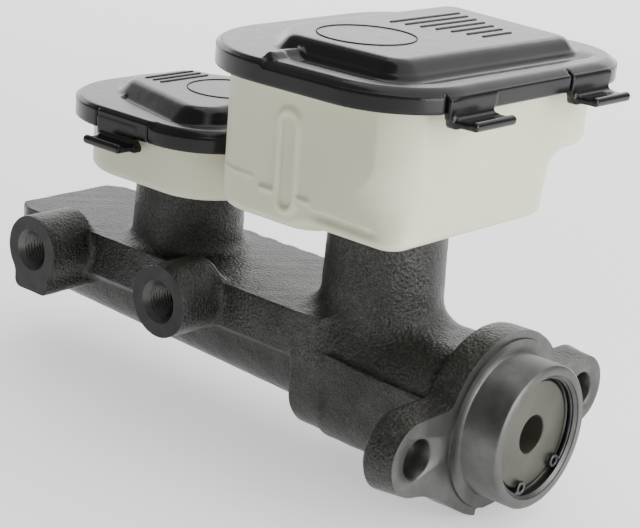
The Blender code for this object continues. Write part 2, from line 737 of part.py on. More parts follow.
def add_tab(cover, centre, outward, width, skirt_low, drop, reach):
    """Add one finger tab: a plate hanging from the skirt with an outer lip.

    The centre lies on the outside of the skirt.
    """
    x, y = centre
    half = width / 2.0
    thick = 2.0
    low = skirt_low - drop
    if outward[0] != 0.0:
        first = sorted((x, x - outward[0] * thick))
        second = sorted((x - outward[0] * thick, x + outward[0] * reach))
        plate = box("plate", (first[0], y - half, low), (first[1], y + half, skirt_low + 2.0))
        lip = box("lip", (second[0], y - half, low), (second[1], y + half, low + 1.8))
    else:
        first = sorted((y, y - outward[1] * thick))
        second = sorted((y - outward[1] * thick, y + outward[1] * reach))
        plate = box("plate", (x - half, first[0], low), (x + half, first[1], skirt_low + 2.0))
        lip = box("lip", (x - half, second[0], low), (x + half, second[1], low + 1.8))
    join(cover, plate, lip)


def make_front_cover(material):
    """Build the small cover with one finger tab on the port side."""
    panel = panel_outline(
        x_front=-164.5, x_rear=-114.5, y_near_front=-17.5, y_near_rear=-26.0,
        y_far_front=17.5, y_far_rear=26.0, radius=8.0)
    cover = make_cover(
        "front_cover", FRONT_COVER_BOX, FRONT_COVER_TOP_Z, panel, FRONT_PANEL_TOP_Z)
    low = FRONT_COVER_TOP_Z - COVER_OVERLAP
    middle = (FRONT_COVER_BOX[0] + FRONT_COVER_BOX[1]) / 2.0
    add_tab(cover, (middle, FRONT_COVER_BOX[2]), (0.0, -1.0), width=17.5, skirt_low=low,
            drop=4.0, reach=7.0)
    return finish(cover, material)


def make_rear_cover(material):
    """Build the large cover with two finger tabs on its rear edge."""
    panel = panel_outline(
        x_front=-81.0, x_rear=-25.0, y_near_front=-38.0, y_near_rear=-38.0,
        y_far_front=54.0, y_far_rear=45.0, radius=9.0)
    cover = make_cover(
        "rear_cover", REAR_COVER_BOX, REAR_COVER_TOP_Z, panel, REAR_PANEL_TOP_Z)
    low = REAR_COVER_TOP_Z - COVER_OVERLAP
    middle = (REAR_COVER_BOX[2] + REAR_COVER_BOX[3]) / 2.0
    for offset in (-REAR_TAB_OFFSET, REAR_TAB_OFFSET):
        add_tab(cover, (REAR_COVER_BOX[1], middle + offset), (1.0, 0.0), width=19.0,
                skirt_low=low, drop=3.6, reach=8.0)
    return finish(cover, material)


def make_diaphragm(name, cover_box, seat_z, panel, material):
    """Build the rubber sheet with a shallow well that lies under a cover."""
    sheet = prism(name, outline_of(inset(cover_box, 3.4)), seat_z, seat_z + 1.1)
    well = loft("well", [(grow(panel, -3.0), seat_z - 5.0), (panel, seat_z + 0.6)])
    join(sheet, well)
    hollow = loft("hollow", [
        (grow(panel, -4.2), seat_z - 3.8), (grow(panel, -1.2), seat_z + 4.0)])
    cut(sheet, hollow)
    return finish(sheet, material)


# ------------------------------------------------------------------ assembly

def build():
    """Build every sub-part in place."""
    for old in list(bpy.data.objects):
        bpy.data.objects.remove(old)
    materials = make_materials()
    rubber = materials["seal_rubber"]
    steel = materials["spring_steel"]

    make_cylinder_body(materials["cast_iron"])
    make_tube_seat("front_tube_seat", FRONT_PORT_X, materials["brass"])
    make_tube_seat("rear_tube_seat", REAR_PORT_X, materials["brass"])
    make_snap_ring(steel)

    make_primary_piston(materials["aluminium"])
    make_lip_seal("primary_rear_seal", heel_x=5.2, lip_x=0.9, inner=13.8, outer=17.9,
                  material=rubber)
    make_washer("primary_cup_washer", start_x=-47.8, end_x=-48.6, inner=6.3, outer=10.4,
                material=steel)
    make_lip_seal("primary_cup", heel_x=-48.9, lip_x=-53.5, inner=6.3, outer=10.8,
                  material=rubber)
    make_spring_retainer("primary_spring_retainer", start_x=-53.8, inner=6.3, outer=9.8,
                         material=steel)
    make_spring("primary_spring", radius=8.4, wire=0.75, start_x=-55.3, end_x=-115.8,
                turns=8, material=steel)

    make_secondary_piston(materials["aluminium"])
    make_lip_seal("secondary_rear_seal", heel_x=-120.7, lip_x=-117.7, inner=7.8,
                  outer=10.8, material=rubber)
    make_lip_seal("secondary_middle_seal", heel_x=-122.1, lip_x=-125.1, inner=7.8,
                  outer=10.8, material=rubber)
    make_washer("secondary_cup_washer", start_x=-147.9, end_x=-148.6, inner=5.8,
                outer=10.4, material=steel)
    make_lip_seal("secondary_cup", heel_x=-148.9, lip_x=-153.2, inner=5.8, outer=10.8,
                  material=rubber)
    make_spring_retainer("secondary_spring_retainer", start_x=-153.5, inner=5.8,
                         outer=9.8, material=steel)
    make_spring("secondary_spring", radius=8.0, wire=0.75, start_x=-155.0, end_x=-202.5,
                turns=7, material=steel)

    make_takeup_valve(materials)
    make_grommet("front_grommet", FRONT_TOWER_X, low=33.0, high=48.9, inner=10.3,
                 outer=13.7, material=rubber)
    make_grommet("rear_grommet", REAR_TOWER_X, low=44.0, high=57.0, inner=10.7,
                 outer=14.2, material=rubber)
    make_front_reservoir(materials["ivory_plastic"])
    make_rear_reservoir(materials["ivory_plastic"])

    make_front_cover(materials["cover_plastic"])
    make_rear_cover(materials["cover_plastic"])
    front_well = panel_outline(
        x_front=-160.0, x_rear=-119.0, y_near_front=-14.0, y_near_rear=-21.0,
        y_far_front=14.0, y_far_rear=21.0, radius=7.0)
    make_diaphragm("front_diaphragm", FRONT_COVER_BOX,
                   FRONT_COVER_TOP_Z - DIAPHRAGM_DROP, front_well, rubber)
    rear_well = panel_outline(
        x_front=-76.0, x_rear=-28.0, y_near_front=-27.0, y_near_rear=-27.0,
        y_far_front=47.0, y_far_rear=40.0, radius=8.0)
    make_diaphragm("rear_diaphragm", REAR_COVER_BOX,
                   REAR_COVER_TOP_Z - DIAPHRAGM_DROP, rear_well, rubber)


build()
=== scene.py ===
"""Looks of the tandem brake master cylinder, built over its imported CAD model.

Shapes are in millimetres in the CAD frame: +X to the pushrod end, +Z up, outlet
ports facing -Y.  Cast and moulded shapes are distance fields meshed on a grid.
Machined faces are cut into the casting afterwards, so their edges stay crisp.
"""

import json
import math

import bmesh
import bpy
import numpy as np
from mathutils import Matrix, Vector


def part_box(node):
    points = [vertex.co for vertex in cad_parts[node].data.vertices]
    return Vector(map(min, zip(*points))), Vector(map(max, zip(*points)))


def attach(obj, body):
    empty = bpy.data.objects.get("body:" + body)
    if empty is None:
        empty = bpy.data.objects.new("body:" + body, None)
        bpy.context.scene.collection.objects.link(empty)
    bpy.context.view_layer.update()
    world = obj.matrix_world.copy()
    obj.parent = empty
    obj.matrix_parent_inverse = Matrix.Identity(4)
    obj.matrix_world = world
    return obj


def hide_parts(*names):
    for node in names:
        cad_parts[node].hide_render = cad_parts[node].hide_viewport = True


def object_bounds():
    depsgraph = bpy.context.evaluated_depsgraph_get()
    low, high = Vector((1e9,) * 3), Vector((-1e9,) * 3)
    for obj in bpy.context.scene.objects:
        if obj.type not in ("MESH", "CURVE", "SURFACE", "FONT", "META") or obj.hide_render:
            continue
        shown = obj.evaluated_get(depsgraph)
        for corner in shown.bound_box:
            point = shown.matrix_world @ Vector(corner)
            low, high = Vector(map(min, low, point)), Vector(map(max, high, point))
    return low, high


MM = 0.001
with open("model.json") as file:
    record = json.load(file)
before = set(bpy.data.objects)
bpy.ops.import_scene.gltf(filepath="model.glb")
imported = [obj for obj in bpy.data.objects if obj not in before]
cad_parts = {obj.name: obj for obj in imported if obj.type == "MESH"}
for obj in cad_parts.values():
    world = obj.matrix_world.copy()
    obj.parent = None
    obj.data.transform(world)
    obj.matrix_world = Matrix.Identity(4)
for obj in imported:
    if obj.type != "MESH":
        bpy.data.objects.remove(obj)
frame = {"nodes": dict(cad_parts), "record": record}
cad_low, cad_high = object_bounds()

# Sizes shared by several pieces, in millimetres.
STUD_SPACING = 85.725
PILOT_RADIUS = 23.4
PILOT_END_X = 14.2
DECK_TOP_Z = 22.3
PORT_FACE_Y = -42.5
PORT_Z = 15.5
FRONT_PORT_X = -179.9
REAR_PORT_X = -113.6
FRONT_TOWER_X = -144.2
REAR_TOWER_X = -52.9
FRONT_TOWER_TOP_Z = 49.2
REAR_TOWER_TOP_Z = 57.3
COVER_OVERLAP = 7.2
WALL = 2.4

# Grid pitch of each meshed shape, in millimetres.
CASTING_PITCH = 0.75
RING_PITCH = 0.26
RESERVOIR_PITCH = 0.7
COVER_PITCH = 0.5

# Brightness of the surround and of the floor's own glow.
SURROUND_LIGHT = 0.33
FLOOR_GLOW = 0.65


# ------------------- distance fields

def length(first, second):
    """Return the length of a flat vector."""
    return np.sqrt(first * first + second * second)


def rectangle(x, y, bounds, radius, low_radius=None):
    """Return the distance to a rectangle with round corners.

    The corners toward low x take the low radius, if one is given.
    """
    low_radius = radius if low_radius is None else low_radius
    x_low, x_high, y_low, y_high = bounds
    across = x - (x_low + x_high) / 2.0
    along = y - (y_low + y_high) / 2.0
    corner = np.where(across < 0.0, low_radius, radius)
    over_x = np.abs(across) - (x_high - x_low) / 2.0 + corner
    over_y = np.abs(along) - (y_high - y_low) / 2.0 + corner
    outside = length(np.maximum(over_x, 0.0), np.maximum(over_y, 0.0))
    return np.minimum(np.maximum(over_x, over_y), 0.0) + outside - corner


def polygon(x, y, corners):
    """Return the distance to a closed polygon."""
    nearest = np.full_like(x, 1e9)
    sign = np.ones_like(x)
    for index, (from_x, from_y) in enumerate(corners):
        to_x, to_y = corners[index - 1]
        edge_x = to_x - from_x
        edge_y = to_y - from_y
        rel_x = x - from_x
        rel_y = y - from_y
        share = (rel_x * edge_x + rel_y * edge_y) / (edge_x ** 2 + edge_y ** 2)
        share = np.clip(share, 0.0, 1.0)
        gap_x = rel_x - edge_x * share
        gap_y = rel_y - edge_y * share
        nearest = np.minimum(nearest, gap_x * gap_x + gap_y * gap_y)
        above = y >= from_y
        below = y < to_y
        left = edge_x * rel_y > edge_y * rel_x
        crossing = (above & below & left) | (~above & ~below & ~left)
        sign = np.where(crossing, -sign, sign)
    return sign * np.sqrt(nearest)


def extrude(flat, along, low, high, edge=0.0):
    """Return the distance to a flat shape drawn out along an axis, edges rounded."""
    side = flat + edge
    cap = np.abs(along - (low + high) / 2.0) - (high - low) / 2.0 + edge
    outside = length(np.maximum(side, 0.0), np.maximum(cap, 0.0))
    return np.minimum(np.maximum(side, cap), 0.0) + outside - edge


def blend(first, second, width):
    """Join two fields with a fillet."""
    near = np.maximum(width - np.abs(first - second), 0.0) / width
    return np.minimum(first, second) - near * near * width * 0.25


def overlap(first, second, width):
    """Keep what two fields share, with a rounded edge."""
    return -blend(-first, -second, width)


def carve(first, second, width):
    """Take the second field out of the first, with a rounded edge."""
    return -blend(-first, second, width)


def ramp(value, start, end):
    """Rise smoothly from 0 at start to 1 at end."""
    share = np.clip((value - start) / (end - start), 0.0, 1.0)
    return share * share * (3.0 - 2.0 * share)


# ------------------- meshing fields

# A block is sampled finely if its middle is within this many blocks of the surface.
BLOCK_REACH = 1.35


def sample_field(field, low, counts, pitch, block):
    """Sample a field on a grid, finely only in the blocks its surface may cross."""
    blocks = [count // block for count in counts]
    middles = [low[axis] + (np.arange(blocks[axis]) * block + (block - 1) / 2.0) * pitch
               for axis in range(3)]
    grid = np.meshgrid(*middles, indexing="ij")
    coarse = field(*[part.ravel() for part in grid]).reshape(blocks)
    values = np.repeat(np.repeat(np.repeat(
        coarse, block, axis=0), block, axis=1), block, axis=2).astype(np.float32)
    reach = block * pitch * BLOCK_REACH
    starts = np.argwhere(np.abs(coarse) < reach) * block
    offsets = np.indices((block,) * 3).reshape(3, -1).T
    places = (starts[:, None, :] + offsets[None, :, :]).reshape(-1, 3)
    found = field(*[low[axis] + places[:, axis] * pitch for axis in range(3)])
    values[places[:, 0], places[:, 1], places[:, 2]] = found
    return values


def surface_net(values):
    """Return the points, in grid steps, and the quads of a sampled zero surface."""
    inside = values < 0.0
    shape = np.array(values.shape) - 1
    steps = [(i, j, k) for i in (0, 1) for j in (0, 1) for k in (0, 1)]
    count = np.zeros(shape, np.int8)
    for i, j, k in steps:
        count += inside[i:i + shape[0], j:j + shape[1], k:k + shape[2]]
    crossed = (count > 0) & (count < 8)
    cells = np.argwhere(crossed)
    index = np.full(shape, -1, np.int64)
    index[crossed] = np.arange(len(cells))
    total = np.zeros((len(cells), 3))
    hits = np.zeros(len(cells))
    for start in steps:
        for axis in range(3):
            if start[axis]:
                continue
            end = list(start)
            end[axis] = 1
            first = values[tuple((cells + start).T)]
            second = values[tuple((cells + end).T)]
            crossing = (first < 0.0) != (second < 0.0)
            share = np.where(crossing, first / np.where(crossing, first - second, 1.0), 0.0)
            point = np.array(start, float) + share[:, None] * (np.array(end) - start)
            total += point * crossing[:, None]
            hits += crossing
    points = cells + total / hits[:, None]
    quads = []
    for axis in range(3):
        ahead = np.zeros(3, int)
        ahead[axis] = 1
        first_side = np.roll(ahead, 1)
        second_side = np.roll(ahead, 2)
        lower = inside[tuple(slice(0, -1) if a else slice(1, -1) for a in ahead)]
        upper = inside[tuple(slice(1, None) if a else slice(1, -1) for a in ahead)]
        edges = np.argwhere(lower != upper)
        leaving = lower[tuple(edges.T)]
        edges = edges + (1 - ahead)
        corners = [edges - first_side - second_side, edges - second_side, edges,
                   edges - first_side]
        ring = np.stack([index[tuple(corner.T)] for corner in corners], axis=1)
        ring[~leaving] = ring[~leaving][:, ::-1]
        quads.append(ring)
    return points, np.concatenate(quads)


def settle_points(field, points, pitch):
    """Move points onto the exact zero surface of a field."""
    step = pitch * 0.05
    longest = pitch * 0.4
    flattest = 0.05
    for _ in range(3):
        value = field(*points.T)
        slope = np.empty_like(points)
        for axis in range(3):
            ahead = points.copy()
            ahead[:, axis] += step
            behind = points.copy()
            behind[:, axis] -= step
            slope[:, axis] = (field(*ahead.T) - field(*behind.T)) / (2.0 * step)
        size = np.maximum((slope * slope).sum(axis=1), flattest)
        move = np.clip(value / size, -longest, longest)
        points = points - slope * move[:, None]
    return points


def mesh_of_arrays(name, points, quads):
    """Return a smooth-shaded object from points in millimetres and quads."""
    mesh = bpy.data.meshes.new(name)
    mesh.vertices.add(len(points))
    mesh.vertices.foreach_set("co", (points * MM).astype(np.float32).ravel())
    mesh.loops.add(quads.size)
    mesh.loops.foreach_set("vertex_index", quads.astype(np.int32).ravel())
    mesh.polygons.add(len(quads))
    mesh.polygons.foreach_set("loop_start", np.arange(len(quads), dtype=np.int32) * 4)
    mesh.update(calc_edges=True)
    mesh.validate()
    mesh.polygons.foreach_set("use_smooth", np.ones(len(mesh.polygons), bool))
    obj = bpy.data.objects.new(name, mesh)
    bpy.context.scene.collection.objects.link(obj)
    return obj


def mesh_field(name, field, low, high, pitch):
    """Mesh the zero surface of a field inside a box, with cells of this pitch."""
    block = 5
    margin = 2.0 * pitch
    low = np.array(low, float) - margin
    size = np.array(high, float) + margin - low
    counts = [int(math.ceil(side / pitch / block)) * block for side in size]
    values = sample_field(field, low, counts, pitch, block)
    points, quads = surface_net(values)
    points = settle_points(field, points * pitch + low, pitch)
    return mesh_of_arrays(name, points, quads)


# ------------------- mesh helpers

def link_shape(name, shape, material=None):
    """Turn a bmesh in millimetres into a linked, smooth-shaded object."""
    bmesh.ops.recalc_face_normals(shape, faces=shape.faces)
    bmesh.ops.scale(shape, vec=Vector((MM, MM, MM)), verts=shape.verts)
    for face in shape.faces:
        face.smooth = True
    mesh = bpy.data.meshes.new(name)
    shape.to_mesh(mesh)
    shape.free()
    obj = bpy.data.objects.new(name, mesh)
    bpy.context.scene.collection.objects.link(obj)
    if material is not None:
        mesh.materials.append(material)
    return obj


# Turns that lay the Z axis of a turned outline along X, Y or Z.
AXIS_TURNS = {
    "X": Matrix(((0, 0, 1, 0), (0, 1, 0, 0), (-1, 0, 0, 0), (0, 0, 0, 1))),
    "Y": Matrix(((1, 0, 0, 0), (0, 0, 1, 0), (0, -1, 0, 0), (0, 0, 0, 1))),
    "Z": Matrix.Identity(4),
}


def turned(name, profile, axis, centre=(0.0, 0.0, 0.0), segments=128, material=None):
    """Turn a closed outline of (along, radius) points about an axis."""
    on_axis = 1e-9
    same_place = 1e-4
    shape = bmesh.new()
    points = [shape.verts.new((radius, 0.0, along)) for along, radius in profile]
    edges = []
    for index, point in enumerate(points):
        following = points[(index + 1) % len(points)]
        if point.co.x > on_axis or following.co.x > on_axis:
            edges.append(shape.edges.new((point, following)))
    bmesh.ops.spin(
        shape, geom=points + edges, cent=(0, 0, 0), axis=(0, 0, 1), angle=math.tau,
        steps=segments, use_merge=True, use_duplicate=False)
    bmesh.ops.remove_doubles(shape, verts=shape.verts, dist=same_place)
    bmesh.ops.transform(
        shape, matrix=Matrix.Translation(centre) @ AXIS_TURNS[axis], verts=shape.verts)
    return link_shape(name, shape, material)


def cut(target, tools):
    """Cut the tools out of the target, keeping each tool's material on its cuts."""
    for tool in tools:
        modifier = target.modifiers.new("cut", "BOOLEAN")
        modifier.operation = "DIFFERENCE"
        modifier.solver = "MANIFOLD"
        modifier.material_mode = "TRANSFER"
        modifier.object = tool
        bpy.context.view_layer.update()
        evaluated = target.evaluated_get(bpy.context.evaluated_depsgraph_get())
        mesh = bpy.data.meshes.new_from_object(evaluated)
        target.modifiers.clear()
        target.data = mesh
        bpy.data.objects.remove(tool)


def crease(obj, degrees):
    """Shade round faces smooth and keep edges sharper than this crisp."""
    for polygon in obj.data.polygons:
        polygon.use_smooth = True
    obj.data.set_sharp_from_angle(angle=math.radians(degrees))


def place(obj, node, body, material=None):
    """Let a finished piece stand for its CAD node and ride on its body."""
    if material is not None:
        obj.data.materials.clear()
        obj.data.materials.append(material)
    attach(obj, body)
    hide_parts(node)
    return obj


# ------------------- materials

class Surface:
    """A material with short ways to add procedural nodes to it."""

    def __init__(self, name, roughness, metallic=0.0):
        self.material = bpy.data.materials.new(name)
        self.material.use_nodes = True
        self.tree = self.material.node_tree
        self.shader = self.tree.nodes["Principled BSDF"]
        self.shader.inputs["Roughness"].default_value = roughness
        self.shader.inputs["Metallic"].default_value = metallic
        self.place = self.tree.nodes.new("ShaderNodeTexCoord").outputs["Object"]

    def link(self, output, target):
        """Join an output to an input."""
        self.tree.links.new(output, target)

    def noise(self, size, detail=3.0, roughness=0.5):
        """Return smooth noise whose grains are about this many millimetres."""
        node = self.tree.nodes.new("ShaderNodeTexNoise")
        node.inputs["Scale"].default_value = 1.0 / (size * MM)
        node.inputs["Detail"].default_value = detail
        node.inputs["Roughness"].default_value = roughness
        self.link(self.place, node.inputs["Vector"])
        return node.outputs["Fac"]

    def grains(self, size):
        """Return round grains about this many millimetres across."""
        node = self.tree.nodes.new("ShaderNodeTexVoronoi")
        node.inputs["Scale"].default_value = 1.0 / (size * MM)
        self.link(self.place, node.inputs["Vector"])
        return node.outputs["Distance"]

    def spread(self, value, low, high, start=0.0, end=1.0):
        """Return a value mapped from start..end to low..high."""
        node = self.tree.nodes.new("ShaderNodeMapRange")
        node.inputs["From Min"].default_value = start
        node.inputs["From Max"].default_value = end
        node.inputs["To Min"].default_value = low
        node.inputs["To Max"].default_value = high
        self.link(value, node.inputs["Value"])
        return node.outputs["Result"]

    def add(self, first, second):
        """Return the sum of two values."""
        node = self.tree.nodes.new("ShaderNodeMath")
        node.operation = "ADD"
        self.link(first, node.inputs[0])
        self.link(second, node.inputs[1])
        return node.outputs["Value"]

    def paint(self, value, stops):
        """Colour the surface by a ramp over a value."""
        node = self.tree.nodes.new("ShaderNodeValToRGB")
        elements = node.color_ramp.elements
        while len(elements) < len(stops):
            elements.new(0.5)
        for element, (position, colour) in zip(elements, stops):
            element.position = position
            element.color = (*colour, 1.0)
        self.link(value, node.inputs["Fac"])
        self.link(node.outputs["Color"], self.shader.inputs["Base Color"])

    def roughen(self, value, low, high, start=0.0, end=1.0):
        """Let the roughness run from low to high as a value runs from start to end."""
        self.link(self.spread(value, low, high, start, end), self.shader.inputs["Roughness"])

    def bump(self, height, depth, strength=1.0):
        """Add relief, with its depth in millimetres, to the shader's normal."""
        node = self.tree.nodes.new("ShaderNodeBump")
        node.inputs["Strength"].default_value = strength
        node.inputs["Distance"].default_value = depth * MM
        normal = self.shader.inputs["Normal"]
        if normal.is_linked:
            self.link(normal.links[0].from_socket, node.inputs["Normal"])
        self.link(height, node.inputs["Height"])
        self.link(node.outputs["Normal"], normal)

    def turning_lines(self, width):
        """Return the rings a lathe leaves about the bore, math.tau widths apart."""
        radians_per_unit = 20.0
        node = self.tree.nodes.new("ShaderNodeTexWave")
        node.wave_type = "RINGS"
        node.rings_direction = "X"
        node.inputs["Scale"].default_value = 1.0 / (width * MM) / radians_per_unit
        node.inputs["Distortion"].default_value = 0.6
        node.inputs["Detail"].default_value = 2.0
        self.link(self.place, node.inputs["Vector"])
        return node.outputs["Fac"]


def cast_iron():
    """Return rough as-cast iron with a sandy skin."""
    surface = Surface("cast_iron", 0.5, 0.85)
    blotches = surface.noise(14.0, 4.0, 0.6)
    speckle = surface.noise(0.55, 3.0, 0.7)
    tone = surface.add(surface.spread(blotches, 0.1, 0.4), surface.spread(speckle, -0.1, 0.6))
    surface.paint(tone, [(0.38, (0.027, 0.0267, 0.026)), (0.5, (0.048, 0.0475, 0.046)),
                         (0.62, (0.095, 0.094, 0.090))])
    surface.roughen(speckle, 0.27, 0.45, 0.3, 0.7)
    surface.bump(surface.grains(1.2), 0.3, 0.9)
    surface.bump(surface.noise(0.8, 4.0, 0.65), 0.42)
    return surface.material


def machined_iron():
    """Return turned or milled iron with faint tool lines."""
    surface = Surface("machined_iron", 0.36, 0.9)
    surface.paint(surface.noise(9.0, 3.0, 0.55),
                  [(0.3, (0.072, 0.073, 0.070)), (0.7, (0.112, 0.113, 0.108))])
    surface.roughen(surface.noise(0.5), 0.28, 0.46)
    surface.bump(surface.turning_lines(0.45), 0.012)
    surface.bump(surface.noise(0.3, 2.0), 0.02)
    return surface.material


def shaded_port_iron():
    """Return milled iron for the outlet faces, made darker than the other milled faces as painted
    shade.
    """
    surface = Surface("shaded_port_iron", 0.42, 0.85)
    # Painted shade: the same milled iron as machined_iron, its colour darkened because these
    # faces turn toward the dim camera side.
    surface.paint(surface.noise(6.0, 3.0),
                  [(0.3, (0.022, 0.0224, 0.0226)), (0.7, (0.036, 0.0363, 0.036))])
    surface.roughen(surface.noise(0.5), 0.32, 0.5)
    surface.bump(surface.noise(0.35, 2.0), 0.02)
    return surface.material


def metal(name, dark, light, roughness):
    """Return plain worked metal with slight tone and grain."""
    surface = Surface(name, roughness, 0.95)
    surface.paint(surface.noise(5.0, 3.0), [(0.3, dark), (0.7, light)])
    surface.roughen(surface.noise(0.4), roughness - 0.07, roughness + 0.1)
    surface.bump(surface.noise(0.4, 2.0), 0.012)
    return surface.material


def anodised_piston():
    """Return the dull grey-green anodised aluminium of the pistons."""
    surface = Surface("anodised_aluminium", 0.46, 0.75)
    surface.paint(surface.noise(12.0, 3.0),
                  [(0.35, (0.076, 0.074, 0.061)), (0.65, (0.096, 0.094, 0.078))])
    surface.roughen(surface.noise(0.4), 0.4, 0.54)
    surface.bump(surface.turning_lines(0.35), 0.006)
    return surface.material


def ivory_plastic():
    """Return the milky nylon of the reservoirs."""
    surface = Surface("ivory_plastic", 0.42)
    surface.paint(surface.noise(38.0, 2.0, 0.4),
                  [(0.3, (0.60, 0.60, 0.45)), (0.7, (0.665, 0.67, 0.515))])
    surface.shader.inputs["Subsurface Weight"].default_value = 0.6
    surface.shader.inputs["Subsurface Radius"].default_value = (1.0, 0.95, 0.75)
    surface.shader.inputs["Subsurface Scale"].default_value = 3.0 * MM
    surface.roughen(surface.noise(1.2, 3.0), 0.36, 0.5)
    surface.bump(surface.noise(0.8, 3.0), 0.02)
    surface.bump(surface.noise(16.0, 1.0), 0.25)
    return surface.material


def black_plastic():
    """Return the shiny black plastic of the covers."""
    surface = Surface("black_plastic", 0.2)
    surface.paint(surface.noise(20.0, 2.0),
                  [(0.3, (0.0050, 0.0053, 0.0057)), (0.7, (0.0080, 0.0083, 0.0089))])
    surface.shader.inputs["Specular IOR Level"].default_value = 0.3
    surface.roughen(surface.noise(2.0, 4.0), 0.13, 0.26)
    surface.bump(surface.noise(0.6, 3.0), 0.008)
    surface.bump(surface.noise(11.0, 1.0), 0.1)
    return surface.material


def rubber():
    """Return matt black rubber."""
    surface = Surface("black_rubber", 0.7)
    surface.paint(surface.noise(3.0, 3.0),
                  [(0.3, (0.014, 0.014, 0.015)), (0.7, (0.026, 0.026, 0.028))])
    surface.roughen(surface.noise(0.5), 0.6, 0.82)
    surface.bump(surface.noise(0.4, 3.0), 0.02)
    return surface.material


def grey_plastic():
    """Return the satin grey plastic of the take-up valve."""
    surface = Surface("grey_plastic", 0.5)
    surface.paint(surface.noise(4.0, 2.0),
                  [(0.3, (0.17, 0.18, 0.19)), (0.7, (0.23, 0.24, 0.25))])
    surface.roughen(surface.noise(0.6), 0.42, 0.58)
    surface.bump(surface.noise(0.5, 2.0), 0.012)
    return surface.material


def floor_white():
    """Return the pale floor."""
    surface = Surface("floor", 0.7)
    surface.paint(surface.noise(400.0, 1.0),
                  [(0.0, (0.90, 0.90, 0.90)), (1.0, (0.92, 0.92, 0.92))])
    surface.shader.inputs["Emission Color"].default_value = (1.0, 1.0, 1.0, 1.0)
    surface.shader.inputs["Emission Strength"].default_value = FLOOR_GLOW
    return surface.material


# ------------------- the casting

# Each tower's middle x, radius at its foot, taper, foot z and top z.
FRONT_TOWER = (FRONT_TOWER_X, 20.3, 0.045, 20.0, FRONT_TOWER_TOP_Z)
REAR_TOWER = (REAR_TOWER_X, 20.8, 0.026, 5.0, REAR_TOWER_TOP_Z)


def deck_field(x, y, z):
    """The flat deck along the top of the barrel, its nose corners cut off."""
    half = 24.9
    side_z = 6.8
    foot_y = 16.5
    foot_z = 1.0
    section = polygon(y, z, [(-half, DECK_TOP_Z), (-half, side_z), (-foot_y, foot_z),
                             (foot_y, foot_z), (half, side_z), (half, DECK_TOP_Z)])
    deck = extrude(section, x, -211.9, -57.0, 1.1)
    nose_x = -212.0
    nose_y = 20.5
    nose_long = 7.0
    nose_wide = 4.4
    nose_slant = 8.27
    nose = (nose_long * (np.abs(y) - nose_y) - nose_wide * (x - nose_x)) / nose_slant
    return overlap(deck, nose, 1.2)


def barrel_field(x, y, z):
    """The slim tapered front barrel and the fuller rear barrel with its step."""
    front_end = -210.5
    front_radius = 18.4 + (x + 50.0) * 0.0261
    front = overlap(length(y, z) - front_radius, front_end - x, 3.0)
    front = overlap(front, x + 45.0, 1.0)
    collar = rectangle(y, z, (-25.4, 25.4, -20.6, 21.8), 16.0)
    collar = extrude(collar, x, -68.5, -54.4, 0.7)
    rear = rectangle(y, z, (-23.3, 23.3, -22.3, 22.3), 17.0)
    rear = extrude(rear, x, -64.0, 0.0, 2.0)
    ledge_z = 9.8
    ledge_slope = 0.0375
    ledge = rectangle(y, z, (-24.7, 24.7, -22.7, 30.0), 17.0)
    ledge = extrude(ledge, x, -57.9, -8.5, 0.5)
    ledge = overlap(ledge, z - ledge_z + (x + 17.9) * ledge_slope, 0.4)
    return blend(blend(blend(front, rear, 5.0), ledge, 0.5), collar, 0.5)


def flange_field(x, y, z):
    """The round flange and its two drafted ears, standing proud for the facing cut."""
    proud_x = 3.0
    disc_radius = 30.2
    ear_radius = 12.0 - 0.11 * x
    notch_half = 9.8
    notch_z = -26.8
    disc = length(y, z) - disc_radius
    ears = length(np.maximum(np.abs(y) - STUD_SPACING / 2.0, 0.0), z) - ear_radius
    # Below the axis the fillet beside each ear widens into a web.
    fillet = 3.0 + 17.0 * ramp(-z, -4.0, 8.0)
    plate = extrude(blend(disc, ears, fillet), x, -10.7, proud_x, 1.2)
    # Behind the plate the disc narrows in a cone.
    cone_x = -7.5
    cone = np.maximum(disc, (disc - (x - cone_x) * 0.75) * 0.8)
    flange = blend(plate, extrude(cone, x, -13.0, proud_x, 1.0), 1.2)
    notch = np.maximum(np.abs(y) - notch_half, z - notch_z)
    return carve(flange, notch, 0.6)


def tower_field(x, y, z, tower):
    """A round reservoir tower, slightly tapered, standing proud for the facing cut."""
    middle, base_radius, taper, low, high = tower
    side = length(x - middle, y) - (base_radius - taper * (z - low))
    return extrude(side, z, low, high + 1.0, 0.5)


def boss_field(x, y, z, middle):
    """A round outlet boss, standing proud for the facing cut."""
    radius = 12.5
    root_y = -22.0
    return extrude(length(x - middle, z - PORT_Z) - radius, y, PORT_FACE_Y - 1.0, root_y, 1.6)


def casting_field(x, y, z):
    """The whole casting before any machining."""
    body = blend(deck_field(x, y, z), barrel_field(x, y, z), 1.6)
    lug = rectangle(x, z, (FRONT_PORT_X - 8.8, FRONT_PORT_X + 9.2, 0.0, PORT_Z), 3.0)
    lug = extrude(lug, y, PORT_FACE_Y - 1.0, -18.0, 0.5)
    front_boss = blend(boss_field(x, y, z, FRONT_PORT_X), lug, 1.5)
    body = blend(body, front_boss, 2.4)
    body = blend(body, boss_field(x, y, z, REAR_PORT_X), 3.0)
    body = blend(body, tower_field(x, y, z, FRONT_TOWER), 4.2)
    body = blend(body, tower_field(x, y, z, REAR_TOWER), 8.0)
    body = blend(body, flange_field(x, y, z), 3.0)
    pilot_blank = extrude(length(y, z) - 26.0, x, -5.0, 16.0)
    body = np.minimum(body, pilot_blank)
    # The uneven skin that the sand leaves.
    waves = (np.sin(x * 0.61 + 1.7 * np.sin(z * 0.43)) * np.sin(y * 0.53 + 0.9)
             + np.sin(z * 0.71 + x * 0.23) * np.sin(y * 0.37 - x * 0.31))
    wave_height = 0.05
    skin_loss = 0.06
    return body + wave_height * waves + skin_loss


